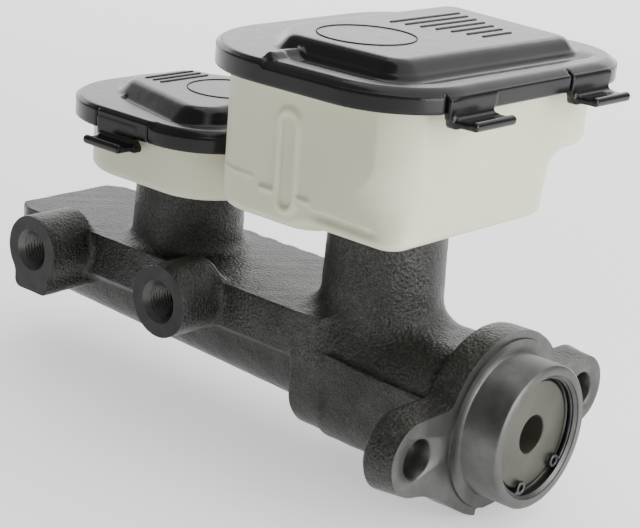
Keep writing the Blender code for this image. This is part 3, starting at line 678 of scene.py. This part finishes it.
def facing_tool(material):
    """Return the ring that turns the flange face, pilot step and pilot."""
    outside = 80.0
    behind = 40.0
    step_x = 0.8
    chamfer = 0.7
    profile = [
        (0.0, outside), (0.0, 27.9), (step_x, 27.7), (step_x, 24.0), (1.4, PILOT_RADIUS),
        (PILOT_END_X - chamfer, PILOT_RADIUS), (PILOT_END_X, PILOT_RADIUS - chamfer),
        (PILOT_END_X, 0.0), (behind, 0.0), (behind, outside),
    ]
    return turned("facing_tool", profile, "X", segments=180, material=material)


def bore_tool(material):
    """Return the stepped bore with its mouth and snap ring groove."""
    mouth = 20.2
    groove = 20.6
    wide = 18.2
    narrow = 11.1
    behind = PILOT_END_X + 2.0
    profile = [
        (behind, 0.0), (behind, mouth), (PILOT_END_X - 0.3, mouth), (13.0, 19.2),
        (12.95, groove), (11.05, groove), (11.0, 18.6), (10.4, wide), (-38.0, wide),
        (-41.0, narrow), (-203.0, narrow), (-206.5, 2.0), (-206.5, 0.0),
    ]
    return turned("bore_tool", profile, "X", segments=150, material=material)


def port_facing_tool(material):
    """Return the block that mills both outlet faces."""
    low = (-220.0, -70.0, -60.0)
    high = (-90.0, PORT_FACE_Y, 45.0)
    shape = bmesh.new()
    bmesh.ops.create_cube(shape, size=1.0)
    size = [high[axis] - low[axis] for axis in range(3)]
    middle = [(high[axis] + low[axis]) / 2.0 for axis in range(3)]
    bmesh.ops.scale(shape, vec=Vector(size), verts=shape.verts)
    bmesh.ops.translate(shape, vec=Vector(middle), verts=shape.verts)
    return link_shape("port_facing", shape, material)


def thread_tool(middle, material):
    """Return an outlet hole with a helical thread and a chamfered mouth."""
    pitch = 1.27
    depth = 0.72
    root_radius = 5.5
    relief_radius = 6.1
    relief_y = -31.3
    mouth_radius = 7.5
    mouth_slope = 0.9
    segments = 72
    rows = np.linspace(PORT_FACE_Y - 2.0, -27.0, 150)
    angles = np.arange(segments) * math.tau / segments
    turn = (rows[:, None] / pitch + angles[None, :] / math.tau) % 1.0
    crest = np.abs(turn - 0.5) * 2.0
    radius = root_radius + depth * crest
    radius = np.where(rows[:, None] > relief_y, relief_radius, radius)
    chamfer = mouth_radius - (rows[:, None] - PORT_FACE_Y) * mouth_slope
    radius = np.maximum(radius, np.clip(chamfer, 0.0, 9.3))
    shape = bmesh.new()
    rings = []
    for row, radii in zip(rows, radius):
        rings.append([
            shape.verts.new((middle + value * math.cos(angle), row,
                             PORT_Z + value * math.sin(angle)))
            for value, angle in zip(radii, angles)])
    for lower, upper in zip(rings, rings[1:]):
        for index in range(segments):
            after = (index + 1) % segments
            shape.faces.new((lower[index], lower[after], upper[after], upper[index]))
    shape.faces.new(rings[0])
    shape.faces.new(rings[-1])
    return link_shape("thread_tool", shape, material)


def outlet_tools(machined, port):
    """Return the threaded outlet holes and the drillings behind them."""
    radius = 1.9
    drilling = [(-28.0, 0.0), (-28.0, radius), (-8.0, radius), (-8.0, 0.0)]
    tools = []
    for middle in (FRONT_PORT_X, REAR_PORT_X):
        tools.append(thread_tool(middle, machined))
        tools.append(turned("drilling", drilling, "Y", (middle, 0.0, PORT_Z), 32, port))
    return tools


def stud_tools(material):
    """Return the two stud holes of the flange, chamfered at its face."""
    radius = 6.2
    mouth = 7.2
    profile = [(-20.0, 0.0), (-20.0, radius), (-0.5, radius), (0.5, mouth), (8.0, mouth),
               (8.0, 0.0)]
    return [turned("stud_hole", profile, "X", (0.0, side * STUD_SPACING / 2.0, 0.0), 96, material)
            for side in (-1.0, 1.0)]


def socket_tools(material):
    """Return the tools that face each tower and bore its stepped socket."""
    outside = 40.0
    chamfer = 0.8
    tools = []
    for middle, top, bottom in (
            (FRONT_TOWER_X, FRONT_TOWER_TOP_Z, [(31.0, 0.0), (31.0, 14.0)]),
            (REAR_TOWER_X, REAR_TOWER_TOP_Z,
             [(26.0, 0.0), (26.0, 11.0), (43.0, 11.0), (43.0, 14.5)])):
        wide = bottom[-1][1]
        profile = bottom + [(top - chamfer, wide), (top, wide + chamfer), (top, outside),
                            (top + 20.0, outside), (top + 20.0, 0.0)]
        tools.append(turned("socket", profile, "Z", (middle, 0.0, 0.0), 128, material))
    return tools


def make_casting(cast, machined, port):
    """Build the casting and machine it."""
    low, high = (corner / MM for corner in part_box("cylinder_body"))
    blank_end = (high.x + 2.0, high.y, high.z + 2.0)
    casting = mesh_field("casting", casting_field, low, blank_end, CASTING_PITCH)
    casting.data.materials.append(cast)
    # The outlet faces and drillings take the port iron, darkened as painted shade.
    tools = [facing_tool(machined), bore_tool(machined), port_facing_tool(port)]
    tools += outlet_tools(machined, port)
    tools += stud_tools(machined)
    tools += socket_tools(machined)
    cut(casting, tools)
    crease(casting, 48.0)
    return place(casting, "cylinder_body", "casting")


# ------------------- small metal parts

def snap_ring_field(x, y, z):
    """An open wire ring with an eyelet at each end."""
    middle = math.radians(284.6)
    half_gap = math.radians(30.0)
    ring_radius = 19.45
    half_wire = 0.85
    eyelet_place = 17.0
    eyelet_radius = 2.3
    hole_radius = 1.05
    angle = np.arctan2(z, y) - middle
    angle = np.abs((angle + math.pi) % math.tau - math.pi)
    radius = length(y, z)
    flat = np.abs(radius - ring_radius) - half_wire
    flat = np.maximum(flat, (half_gap - angle) * radius)
    for side in (-1.0, 1.0):
        turn = middle + side * (half_gap + math.radians(1.0))
        away = length(y - eyelet_place * math.cos(turn), z - eyelet_place * math.sin(turn))
        flat = blend(flat, away - eyelet_radius, 0.8)
        flat = np.maximum(flat, hole_radius - away)
    return extrude(flat, x, 11.35, 12.65, 0.45)


# Closed outlines, as (along, radius) points, of the turned small parts.
TUBE_SEAT = [
    (-27.3, 2.0), (-27.3, 5.6), (-30.3, 5.6), (-31.1, 4.9), (-33.4, 2.7), (-33.6, 2.4),
    (-33.6, 1.6), (-29.0, 1.6),
]
PRIMARY_PISTON = [
    (10.5, 6.2), (10.8, 6.5), (10.8, 17.3), (10.3, 17.8), (5.5, 17.8), (5.5, 13.5),
    (0.5, 13.5), (0.5, 17.8), (-2.2, 17.8), (-2.5, 17.5), (-2.5, 9.5), (-44.5, 9.5),
    (-44.5, 10.6), (-44.7, 10.75), (-47.5, 10.75), (-47.5, 6.0), (-56.5, 6.0),
    (-57.0, 5.5), (-57.0, 0.0), (-3.5, 0.0), (4.0, 5.4),
]


def make_small_parts(steel, brass, anodised):
    """Build the snap ring, the tube seats and the primary piston."""
    ring = mesh_field("snap_ring_piece", snap_ring_field, (11.0, -21.0, -21.0),
                      (13.0, 21.0, 21.0), RING_PITCH)
    place(ring, "snap_ring", "casting", steel)
    for name, middle in (("front_tube_seat", FRONT_PORT_X), ("rear_tube_seat", REAR_PORT_X)):
        seat = turned(name + "_piece", TUBE_SEAT, "Y", (middle, 0.0, PORT_Z), 64)
        crease(seat, 30.0)
        place(seat, name, "casting", brass)
    piston = turned("primary_piston_piece", PRIMARY_PISTON, "X")
    crease(piston, 25.0)
    place(piston, "primary_piston", "primary", anodised)


# ------------------- reservoirs

# Outlines are x low, x high, y low, y high.  The left corner is the radius at the
# rear reservoir's end toward the front.
FRONT_WALL = (-173.5, -101.5, -35.0, 35.0)
FRONT_BOTTOM_Z = 49.4
REAR_WALL = (-92.0, -12.6, -48.0, 57.5)
REAR_LOW = (-92.0, -12.6, -48.0, 35.0)
REAR_BOTTOM_Z = 57.7
REAR_SHELF_Z = 60.2
REAR_STEP_Z = 80.0
REAR_LEFT_CORNER = 18.5
FRONT_COVER_TOP_Z = 74.0
REAR_COVER_TOP_Z = 109.5
FRONT_COVER = (-182.0, -97.6, -39.7, 39.7)
REAR_COVER = (-100.8, -4.2, -58.5, 65.0)

# The rim inside each cover: how far inside its outline, how thick, and how far above
# the lower edge of its skirt.
RIM_INSET = 2.8
RIM_THICKNESS = 2.4
RIM_RISE = 0.4


def shrink(bounds, amount):
    """Move every side of an outline inward."""
    x_low, x_high, y_low, y_high = bounds
    return (x_low + amount, x_high - amount, y_low + amount, y_high - amount)


def front_wall_field(x, y, z):
    """The outside of the front reservoir, running on upward."""
    outline = rectangle(x, y, FRONT_WALL, 21.0, 26.0)
    return extrude(outline, z, FRONT_BOTTOM_Z, 120.0, 2.4)


def front_reservoir_field(x, y, z):
    """The front reservoir: shell, rim flange and neck."""
    wall = front_wall_field(x, y, z)
    top = FRONT_COVER_TOP_Z - COVER_OVERLAP + RIM_RISE
    rim = rectangle(x, y, shrink(FRONT_COVER, RIM_INSET), 22.0, 29.0)
    rim = extrude(rim, z, top, top + RIM_THICKNESS, 0.4)
    away = length(x - FRONT_TOWER_X, y)
    neck = extrude(away - 10.0, z, 34.0, FRONT_BOTTOM_Z + 4.0, 0.6)
    outlet = extrude(away - 7.6, z, 20.0, FRONT_BOTTOM_Z + 6.0)
    body = overlap(wall, z - top - 1.0, 0.4)
    body = blend(blend(body, rim, 0.8), neck, 1.0)
    body = carve(body, wall + WALL, 0.6)
    return carve(body, outlet, 0.5)


def rear_wall_field(x, y, z):
    """The outside of the rear reservoir, running on upward."""
    high = 130.0
    # The far wall leans outward, and the near corner by the pushrod tightens toward the shelf.
    lean = np.clip((z - 66.0) / 12.0, 0.0, 1.0) * 2.2
    corner = np.where(y < 0.0, 17.0 - 10.0 * ramp(z, 73.0, 59.5), 15.0)
    low = rectangle(x, y - np.where(y > 0.0, lean, 0.0), REAR_LOW, corner, REAR_LEFT_CORNER)
    low = extrude(low, z, REAR_SHELF_Z, high, 3.0)
    inset = 0.3
    sump_bounds = (REAR_LOW[0] + inset, -43.0, REAR_LOW[2] + inset, REAR_LOW[3] - inset)
    sump = rectangle(x, y, sump_bounds, 12.0, REAR_LEFT_CORNER - inset)
    sump = extrude(sump, z, REAR_BOTTOM_Z, 70.0, 3.2)
    foot = extrude(length(x - REAR_TOWER_X, y) - 17.5, z, REAR_BOTTOM_Z, 66.0, 1.0)
    outline = rectangle(x, y, REAR_WALL, 18.0, REAR_LEFT_CORNER)
    wide = extrude(outline, z, REAR_STEP_Z, high, 4.0)
    shape = blend(blend(low, blend(sump, foot, 2.0), 3.0), wide, 6.0)
    return np.maximum(shape, rectangle(x, y, REAR_WALL, 6.0, REAR_LEFT_CORNER))


def near_wall_relief(x, z):
    """Return how far the port-side wall stands out of its plane, in millimetres."""
    # The sight slot: a bead round a sunk strip.
    slot_x = -55.5
    slot_lean = 0.012
    slot_low_z = 66.8
    slot_high_z = 90.0
    slot = length(x - slot_x + (z - 78.0) * slot_lean,
                  np.maximum(np.maximum(slot_low_z - z, z - slot_high_z), 0.0))
    bead = 1.0 * ramp(slot, 5.2, 4.2) * ramp(slot, 2.3, 3.0)
    recess = 1.2 * ramp(slot, 2.0, 1.1)
    relief = bead - recess
    # The level dashes beside it and one plain bar.
    dash_z = 68.0
    for start, end in ((-65.6, -60.4), (-51.2, -46.2)):
        reach = np.maximum(np.abs(x - (start + end) / 2.0) - (end - start) / 2.0, 0.0)
        relief = np.maximum(relief, 0.8 * ramp(length(reach, z - dash_z), 1.1, 0.5))
    label_x = -76.5
    label_z = 70.5
    label = length(np.maximum(np.abs(x - label_x) - 6.5, 0.0), z - label_z)
    relief = np.maximum(relief, 0.4 * ramp(label, 1.1, 0.5))
    # The groove above the shelf.
    edge = 66.0 - (x + 45.0) * 0.02
    groove = ramp(z, edge + 0.3, edge - 0.6) * ramp(z, edge - 3.6, edge - 1.2)
    groove = groove * ramp(x, -47.0, -40.0) * ramp(x, -18.5, -24.0)
    return relief - 1.2 * groove


def rear_reservoir_field(x, y, z):
    """The rear reservoir: shell, rim flange, neck and outside details."""
    wall = rear_wall_field(x, y, z)
    top = REAR_COVER_TOP_Z - COVER_OVERLAP + RIM_RISE
    rim = rectangle(x, y, shrink(REAR_COVER, RIM_INSET), 24.0, 36.0)
    rim = extrude(rim, z, top, top + RIM_THICKNESS, 0.4)
    away = length(x - REAR_TOWER_X, y)
    neck = extrude(away - 10.4, z, 46.0, REAR_BOTTOM_Z + 4.0, 0.6)
    outlet = extrude(away - 7.8, z, 30.0, REAR_BOTTOM_Z + 8.0)
    near_y = -42.0
    body = wall - np.where(y < near_y, near_wall_relief(x, z), 0.0)
    body = overlap(body, z - top - 1.0, 0.4)
    body = blend(blend(body, rim, 0.8), neck, 1.0)
    body = carve(body, wall + WALL, 0.6)
    return carve(body, outlet, 0.5)


def make_reservoirs(ivory):
    """Build both reservoirs."""
    for node, field in (("front_reservoir", front_reservoir_field),
                        ("rear_reservoir", rear_reservoir_field)):
        low, high = (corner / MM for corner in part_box(node))
        piece = mesh_field(node + "_piece", field, low, high, RESERVOIR_PITCH)
        place(piece, node, "casting", ivory)


# ------------------- covers

def panel_distance(x, y, corners, radius):
    """Return the flat distance to a raised panel's top outline, its corners rounded."""
    middle_x = sum(corner[0] for corner in corners) / len(corners)
    middle_y = sum(corner[1] for corner in corners) / len(corners)
    pulled = []
    for corner_x, corner_y in corners:
        pulled.append((corner_x + math.copysign(radius, middle_x - corner_x),
                       corner_y + math.copysign(radius, middle_y - corner_y)))
    return polygon(x, y, pulled) - radius


def moat_field(x, y, flat, cover):
    """Return how deep the moat around the raised panel is, in millimetres."""
    start, end = cover["moat"]
    moat = ramp(flat, start, start + 1.2) * ramp(flat, end, end - 2.2)
    moat = moat * ramp(x, cover["moat_x"], cover["moat_x"] + 2.0)
    return moat * ramp(cover["moat_y"] - y, 0.0, 14.0) * cover["moat_depth"]


def ridge_field(x, y, rib):
    """Return how high the rib across the plate's port side is, in millimetres."""
    rib_x, rib_start = rib
    ridge = 1.7 * ramp(x, rib_x - 1.8, rib_x - 0.5) * ramp(x, rib_x + 4.6, rib_x + 0.9)
    return ridge * ramp(y, rib_start, rib_start + 3.5) * ramp(y, 0.0, -20.0)


def cover_field(x, y, z, cover):
    """A snap cover: rim plate with a rounded shoulder, skirt, moat and raised panel."""
    top = cover["top"]
    rise = cover["rise"]
    outline = rectangle(x, y, cover["bounds"], *cover["corners"])
    flat = panel_distance(x, y, cover["panel"], cover["panel_corner"])
    wide = ramp(x, cover["shoulder_x"], cover["shoulder_x"] + 2.4)
    shoulder = 1.3 + cover["shoulder"] * wide
    share = np.clip((outline + 0.5 + shoulder) / shoulder, 0.0, 1.0)
    drop = (0.8 + 1.1 * wide) * (share + share * share) / 2.0
    moat = moat_field(x, y, flat, cover)
    ridge = ridge_field(x, y, cover["rib"]) if "rib" in cover else 0.0
    plate = extrude(outline, z, top - 30.0, top + 3.0, 0.8)
    plate = overlap(plate, (z - top + drop + moat - ridge) * 0.85, 0.5)
    plate = overlap(plate, top - COVER_OVERLAP - z, 0.5)
    side_slope = 0.9
    sides = (flat - (top + rise - z) * side_slope) * 0.74
    raised = overlap(sides, z - top - rise, 1.6)
    raised = overlap(raised, top - 3.0 - z, 0.5)
    shape = blend(plate, raised, 1.0)
    skirt_wall = 2.3
    panel_wall = 2.0
    hollow = overlap(outline + skirt_wall, z - top + 3.4, 0.5)
    under = overlap(sides + panel_wall, z - top - rise + 2.2, 0.5)
    return carve(shape, np.minimum(hollow, under), 0.4)


def add_tab(shape, along, out, z, half, low, slots, slit_size):
    """Add a finger tab that hangs from the skirt and turns outward.

    The first two coordinates run along the edge and outward from its face.
    """
    slit_half, slit_depth = slit_size
    left = slots[0]
    height = 8.0
    reach = 7.7
    # The skin over the skirt, cut off at a slant.
    skin = np.abs(along - (left + half) / 2.0) - (half - left) / 2.0
    skin = extrude(skin, out, -2.1, 0.0, 0.5)
    skin = overlap(skin, low - z, 0.6)
    skin = overlap(skin, z - low - height, 0.6)
    slant = (low - half - along - z) * 0.7
    skin = overlap(skin, slant, 0.4)
    # The lip that turns outward, with its rolled edge.
    side = np.abs(along) - half
    lip = extrude(side, z, low, low + 2.1, 0.7)
    lip = overlap(lip, -2.0 - out, 0.5)
    lip = overlap(lip, out - reach, 0.8)
    bead = overlap(length(out - 6.6, z - low - 1.7) - 1.2, side, 0.8)
    tab = blend(blend(skin, lip, 2.6), bead, 0.6)
    notch = length(along - half - 1.0, z - low - 3.3) - 1.9
    tab = carve(tab, np.maximum(notch, out - 0.6), 0.5)
    shape = blend(shape, tab, 0.7)
    for slot in slots:
        slit = np.maximum(np.abs(along - slot) - slit_half, -slit_depth - out)
        shape = carve(shape, np.maximum(slit, low - z), 0.3)
    return shape


# Each cover's sizes.  "corners" holds the radius at the pushrod end and at the front,
# "moat" how far from the panel the moat starts and ends, and "rib" the rib's x and
# where it starts in y.
FRONT_CAP = {
    "top": FRONT_COVER_TOP_Z, "rise": 4.65, "bounds": FRONT_COVER, "corners": (25.0, 32.0),
    "panel": [(-114.5, 25.0), (-164.5, 17.0), (-164.5, -16.5), (-114.5, -25.0)],
    "panel_corner": 8.0, "shoulder": 1.2, "shoulder_x": -126.0,
    "moat": (3.2, 7.6), "moat_x": -158.0, "moat_y": 60.0, "moat_depth": 0.9,
}
REAR_CAP = {
    "top": REAR_COVER_TOP_Z, "rise": 4.45, "bounds": REAR_COVER, "corners": (27.0, 39.0),
    "panel": [(-23.3, 46.5), (-78.5, 54.0), (-78.5, -29.0), (-70.0, -38.0), (-24.5, -38.0)],
    "panel_corner": 5.0, "shoulder": 1.9, "shoulder_x": -60.6,
    "moat": (3.8, 11.6), "moat_x": -60.2, "moat_y": 50.0, "moat_depth": 1.3,
    "rib": (-60.6, -56.5),
}


def front_cover_field(x, y, z):
    """The small cover with its tab."""
    middle = -139.8
    shape = cover_field(x, y, z, FRONT_CAP)
    return add_tab(shape, x - middle, FRONT_COVER[2] - y, z, 8.75, 62.8, (-11.0, 14.0),
                   (0.32, 0.9))


def rear_cover_field(x, y, z):
    """The large cover with its two tabs."""
    shape = cover_field(x, y, z, REAR_CAP)
    for middle in (-26.95, 33.45):
        shape = add_tab(shape, y - middle, x - REAR_COVER[1], z, 9.5, 98.7, (-12.6,),
                        (0.6, 2.4))
    return shape


def add_ring(shape, centre, radius, wire):
    """Add a thin raised witness ring lying flat."""
    segments = 120
    sides = 6
    rings = []
    for index in range(segments):
        angle = math.tau * index / segments
        ring = []
        for side in range(sides):
            turn = math.tau * side / sides
            reach = radius + wire * math.cos(turn)
            ring.append(shape.verts.new((centre[0] + reach * math.cos(angle),
                                         centre[1] + reach * math.sin(angle),
                                         centre[2] + wire * math.sin(turn))))
        rings.append(ring)
    for index in range(segments):
        lower = rings[index]
        upper = rings[(index + 1) % segments]
        for side in range(sides):
            after = (side + 1) % sides
            shape.faces.new((lower[side], lower[after], upper[after], upper[side]))


def add_bar(shape, start, end):
    """Add one plain raised bar with round ends."""
    half_width = 0.7
    draft = 0.15
    rise = Vector((0.0, 0.0, 0.5))
    start = Vector(start)
    end = Vector(end)
    along = (end - start).normalized()
    across = Vector((-along.y, along.x, 0.0))
    lower = []
    upper = []
    for centre, first in ((end, -90.0), (start, 90.0)):
        for step in range(7):
            angle = math.radians(first + 30.0 * step)
            away = along * math.cos(angle) + across * math.sin(angle)
            lower.append(shape.verts.new(centre + away * half_width))
            upper.append(shape.verts.new(centre + away * (half_width - draft) + rise))
    count = len(lower)
    for index in range(count):
        after = (index + 1) % count
        shape.faces.new((lower[index], lower[after], upper[after], upper[index]))
    shape.faces.new(upper)
    shape.faces.new(list(reversed(lower)))


def make_cover_marks(name, body, centre, radius, bars, material):
    """Build the witness ring and the plain bars on one cover's panel."""
    wire = 0.24
    bar_z = centre[2] - 0.3
    shape = bmesh.new()
    add_ring(shape, centre, radius, wire)
    for start, end in bars:
        add_bar(shape, (*start, bar_z), (*end, bar_z))
    marks = link_shape(name, shape, material)
    crease(marks, 35.0)
    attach(marks, body)


def make_covers(black, matt_black):
    """Build both covers and their moulded marks."""
    for node, body, field in (("front_cover", "front_lid", front_cover_field),
                              ("rear_cover", "rear_lid", rear_cover_field)):
        low, high = (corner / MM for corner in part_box(node))
        piece = mesh_field(node + "_piece", field, low, high, COVER_PITCH)
        place(piece, node, body, black)
    # Plain bars in rows.
    rear_bars = [((-66.0 + 5.0 * row, 8.0 + 1.5 * row), (-66.0 + 5.0 * row, 43.0 - 2.0 * row))
                 for row in range(7)]
    make_cover_marks("rear_cover_marks", "rear_lid", (-55.0, -17.0, 114.0), 15.4, rear_bars,
                     matt_black)
    front_bars = [((-160.0 + 3.8 * row, -9.0), (-160.0 + 3.8 * row, 13.0))
                  for row in range(3)]
    make_cover_marks("front_cover_marks", "front_lid", (-133.0, 4.7, 78.7), 14.4, front_bars,
                     matt_black)


# ------------------- studio

def area_light(name, place_mm, target_mm, size, power):
    """Add one soft white rectangular light."""
    data = bpy.data.lights.new(name, "AREA")
    data.shape = "RECTANGLE"
    data.size, data.size_y = size
    data.energy = power
    light = bpy.data.objects.new(name, data)
    light.location = Vector(place_mm) * MM
    aim = Vector(target_mm) * MM - light.location
    light.rotation_euler = aim.to_track_quat("-Z", "Y").to_euler()
    bpy.context.scene.collection.objects.link(light)


def make_world():
    """Light the whole surround dimly and evenly."""
    world = bpy.data.worlds.new("studio")
    bpy.context.scene.world = world
    world.use_nodes = True
    background = world.node_tree.nodes["Background"]
    background.inputs["Color"].default_value = (1.0, 1.0, 1.0, 1.0)
    background.inputs["Strength"].default_value = SURROUND_LIGHT


def make_studio():
    """Lay the floor and set the soft lights."""
    floor_z = cad_low.z / MM
    half_side = 4000.0
    shape = bmesh.new()
    bmesh.ops.create_grid(shape, x_segments=8, y_segments=8, size=half_side)
    bmesh.ops.translate(shape, vec=Vector((0.0, 0.0, floor_z)), verts=shape.verts)
    floor = link_shape("floor", shape, floor_white())
    make_world()
    middle = (-90.0, 0.0, 30.0)
    area_light("overhead", (60.0, 380.0, 880.0), middle, (1.5, 1.2), 9.0)
    area_light("behind", (-767.0, 794.0, 400.0), middle, (2.6, 0.75), 14.5)
    area_light("pushrod_side", (750.0, 120.0, 260.0), middle, (0.7, 0.6), 9.0)


def make_camera():
    """Set the camera at the photograph's viewing angle."""
    azimuth = math.radians(40.45)
    elevation = math.radians(18.41)
    roll = math.radians(4.78)
    position = Vector((271.75, -411.52, 208.56)) * MM
    forward = Vector((-math.sin(azimuth) * math.cos(elevation),
                      math.cos(azimuth) * math.cos(elevation), -math.sin(elevation)))
    level_right = Vector((math.cos(azimuth), math.sin(azimuth), 0.0))
    level_up = level_right.cross(forward)
    right = math.cos(roll) * level_right + math.sin(roll) * level_up
    up = -math.sin(roll) * level_right + math.cos(roll) * level_up
    data = bpy.data.cameras.new("camera")
    data.sensor_width = 36.0
    data.lens = 95.49
    data.shift_x = -0.00478
    data.shift_y = 0.00764
    data.clip_start = 0.01
    data.clip_end = 20.0
    camera = bpy.data.objects.new("camera", data)
    turn = Matrix((right, up, -forward)).transposed().to_4x4()
    camera.matrix_world = Matrix.Translation(position) @ turn
    bpy.context.scene.collection.objects.link(camera)
    bpy.context.scene.camera = camera


# ------------------- assembly

def dress_cad_nodes(by_slot):
    """Give every CAD node that is still shown a procedural surface."""
    for subpart in frame["record"]["subparts"]:
        node = frame["nodes"][subpart["node"]]
        if node.hide_render:
            continue
        node.data.materials.clear()
        node.data.materials.append(by_slot[subpart["material_slot"]])


def build():
    """Build every piece, the studio and the camera."""
    cast = cast_iron()
    machined = machined_iron()
    steel = metal("spring_steel", (0.05, 0.05, 0.052), (0.085, 0.085, 0.088), 0.34)
    brass = metal("brass", (0.46, 0.33, 0.14), (0.60, 0.44, 0.20), 0.3)
    ball = metal("ball_steel", (0.52, 0.52, 0.53), (0.62, 0.62, 0.63), 0.15)
    anodised = anodised_piston()
    ivory = ivory_plastic()
    black = black_plastic()
    rubber_black = rubber()
    make_casting(cast, machined, shaded_port_iron())
    make_small_parts(steel, brass, anodised)
    make_reservoirs(ivory)
    make_covers(black, rubber_black)
    dress_cad_nodes({
        "cast_iron": cast, "brass": brass, "spring_steel": steel, "aluminium": anodised,
        "bright_steel": ball, "seal_rubber": rubber_black, "ivory_plastic": ivory,
        "cover_plastic": black, "valve_plastic": grey_plastic(),
    })
    make_studio()
    make_camera()


build()
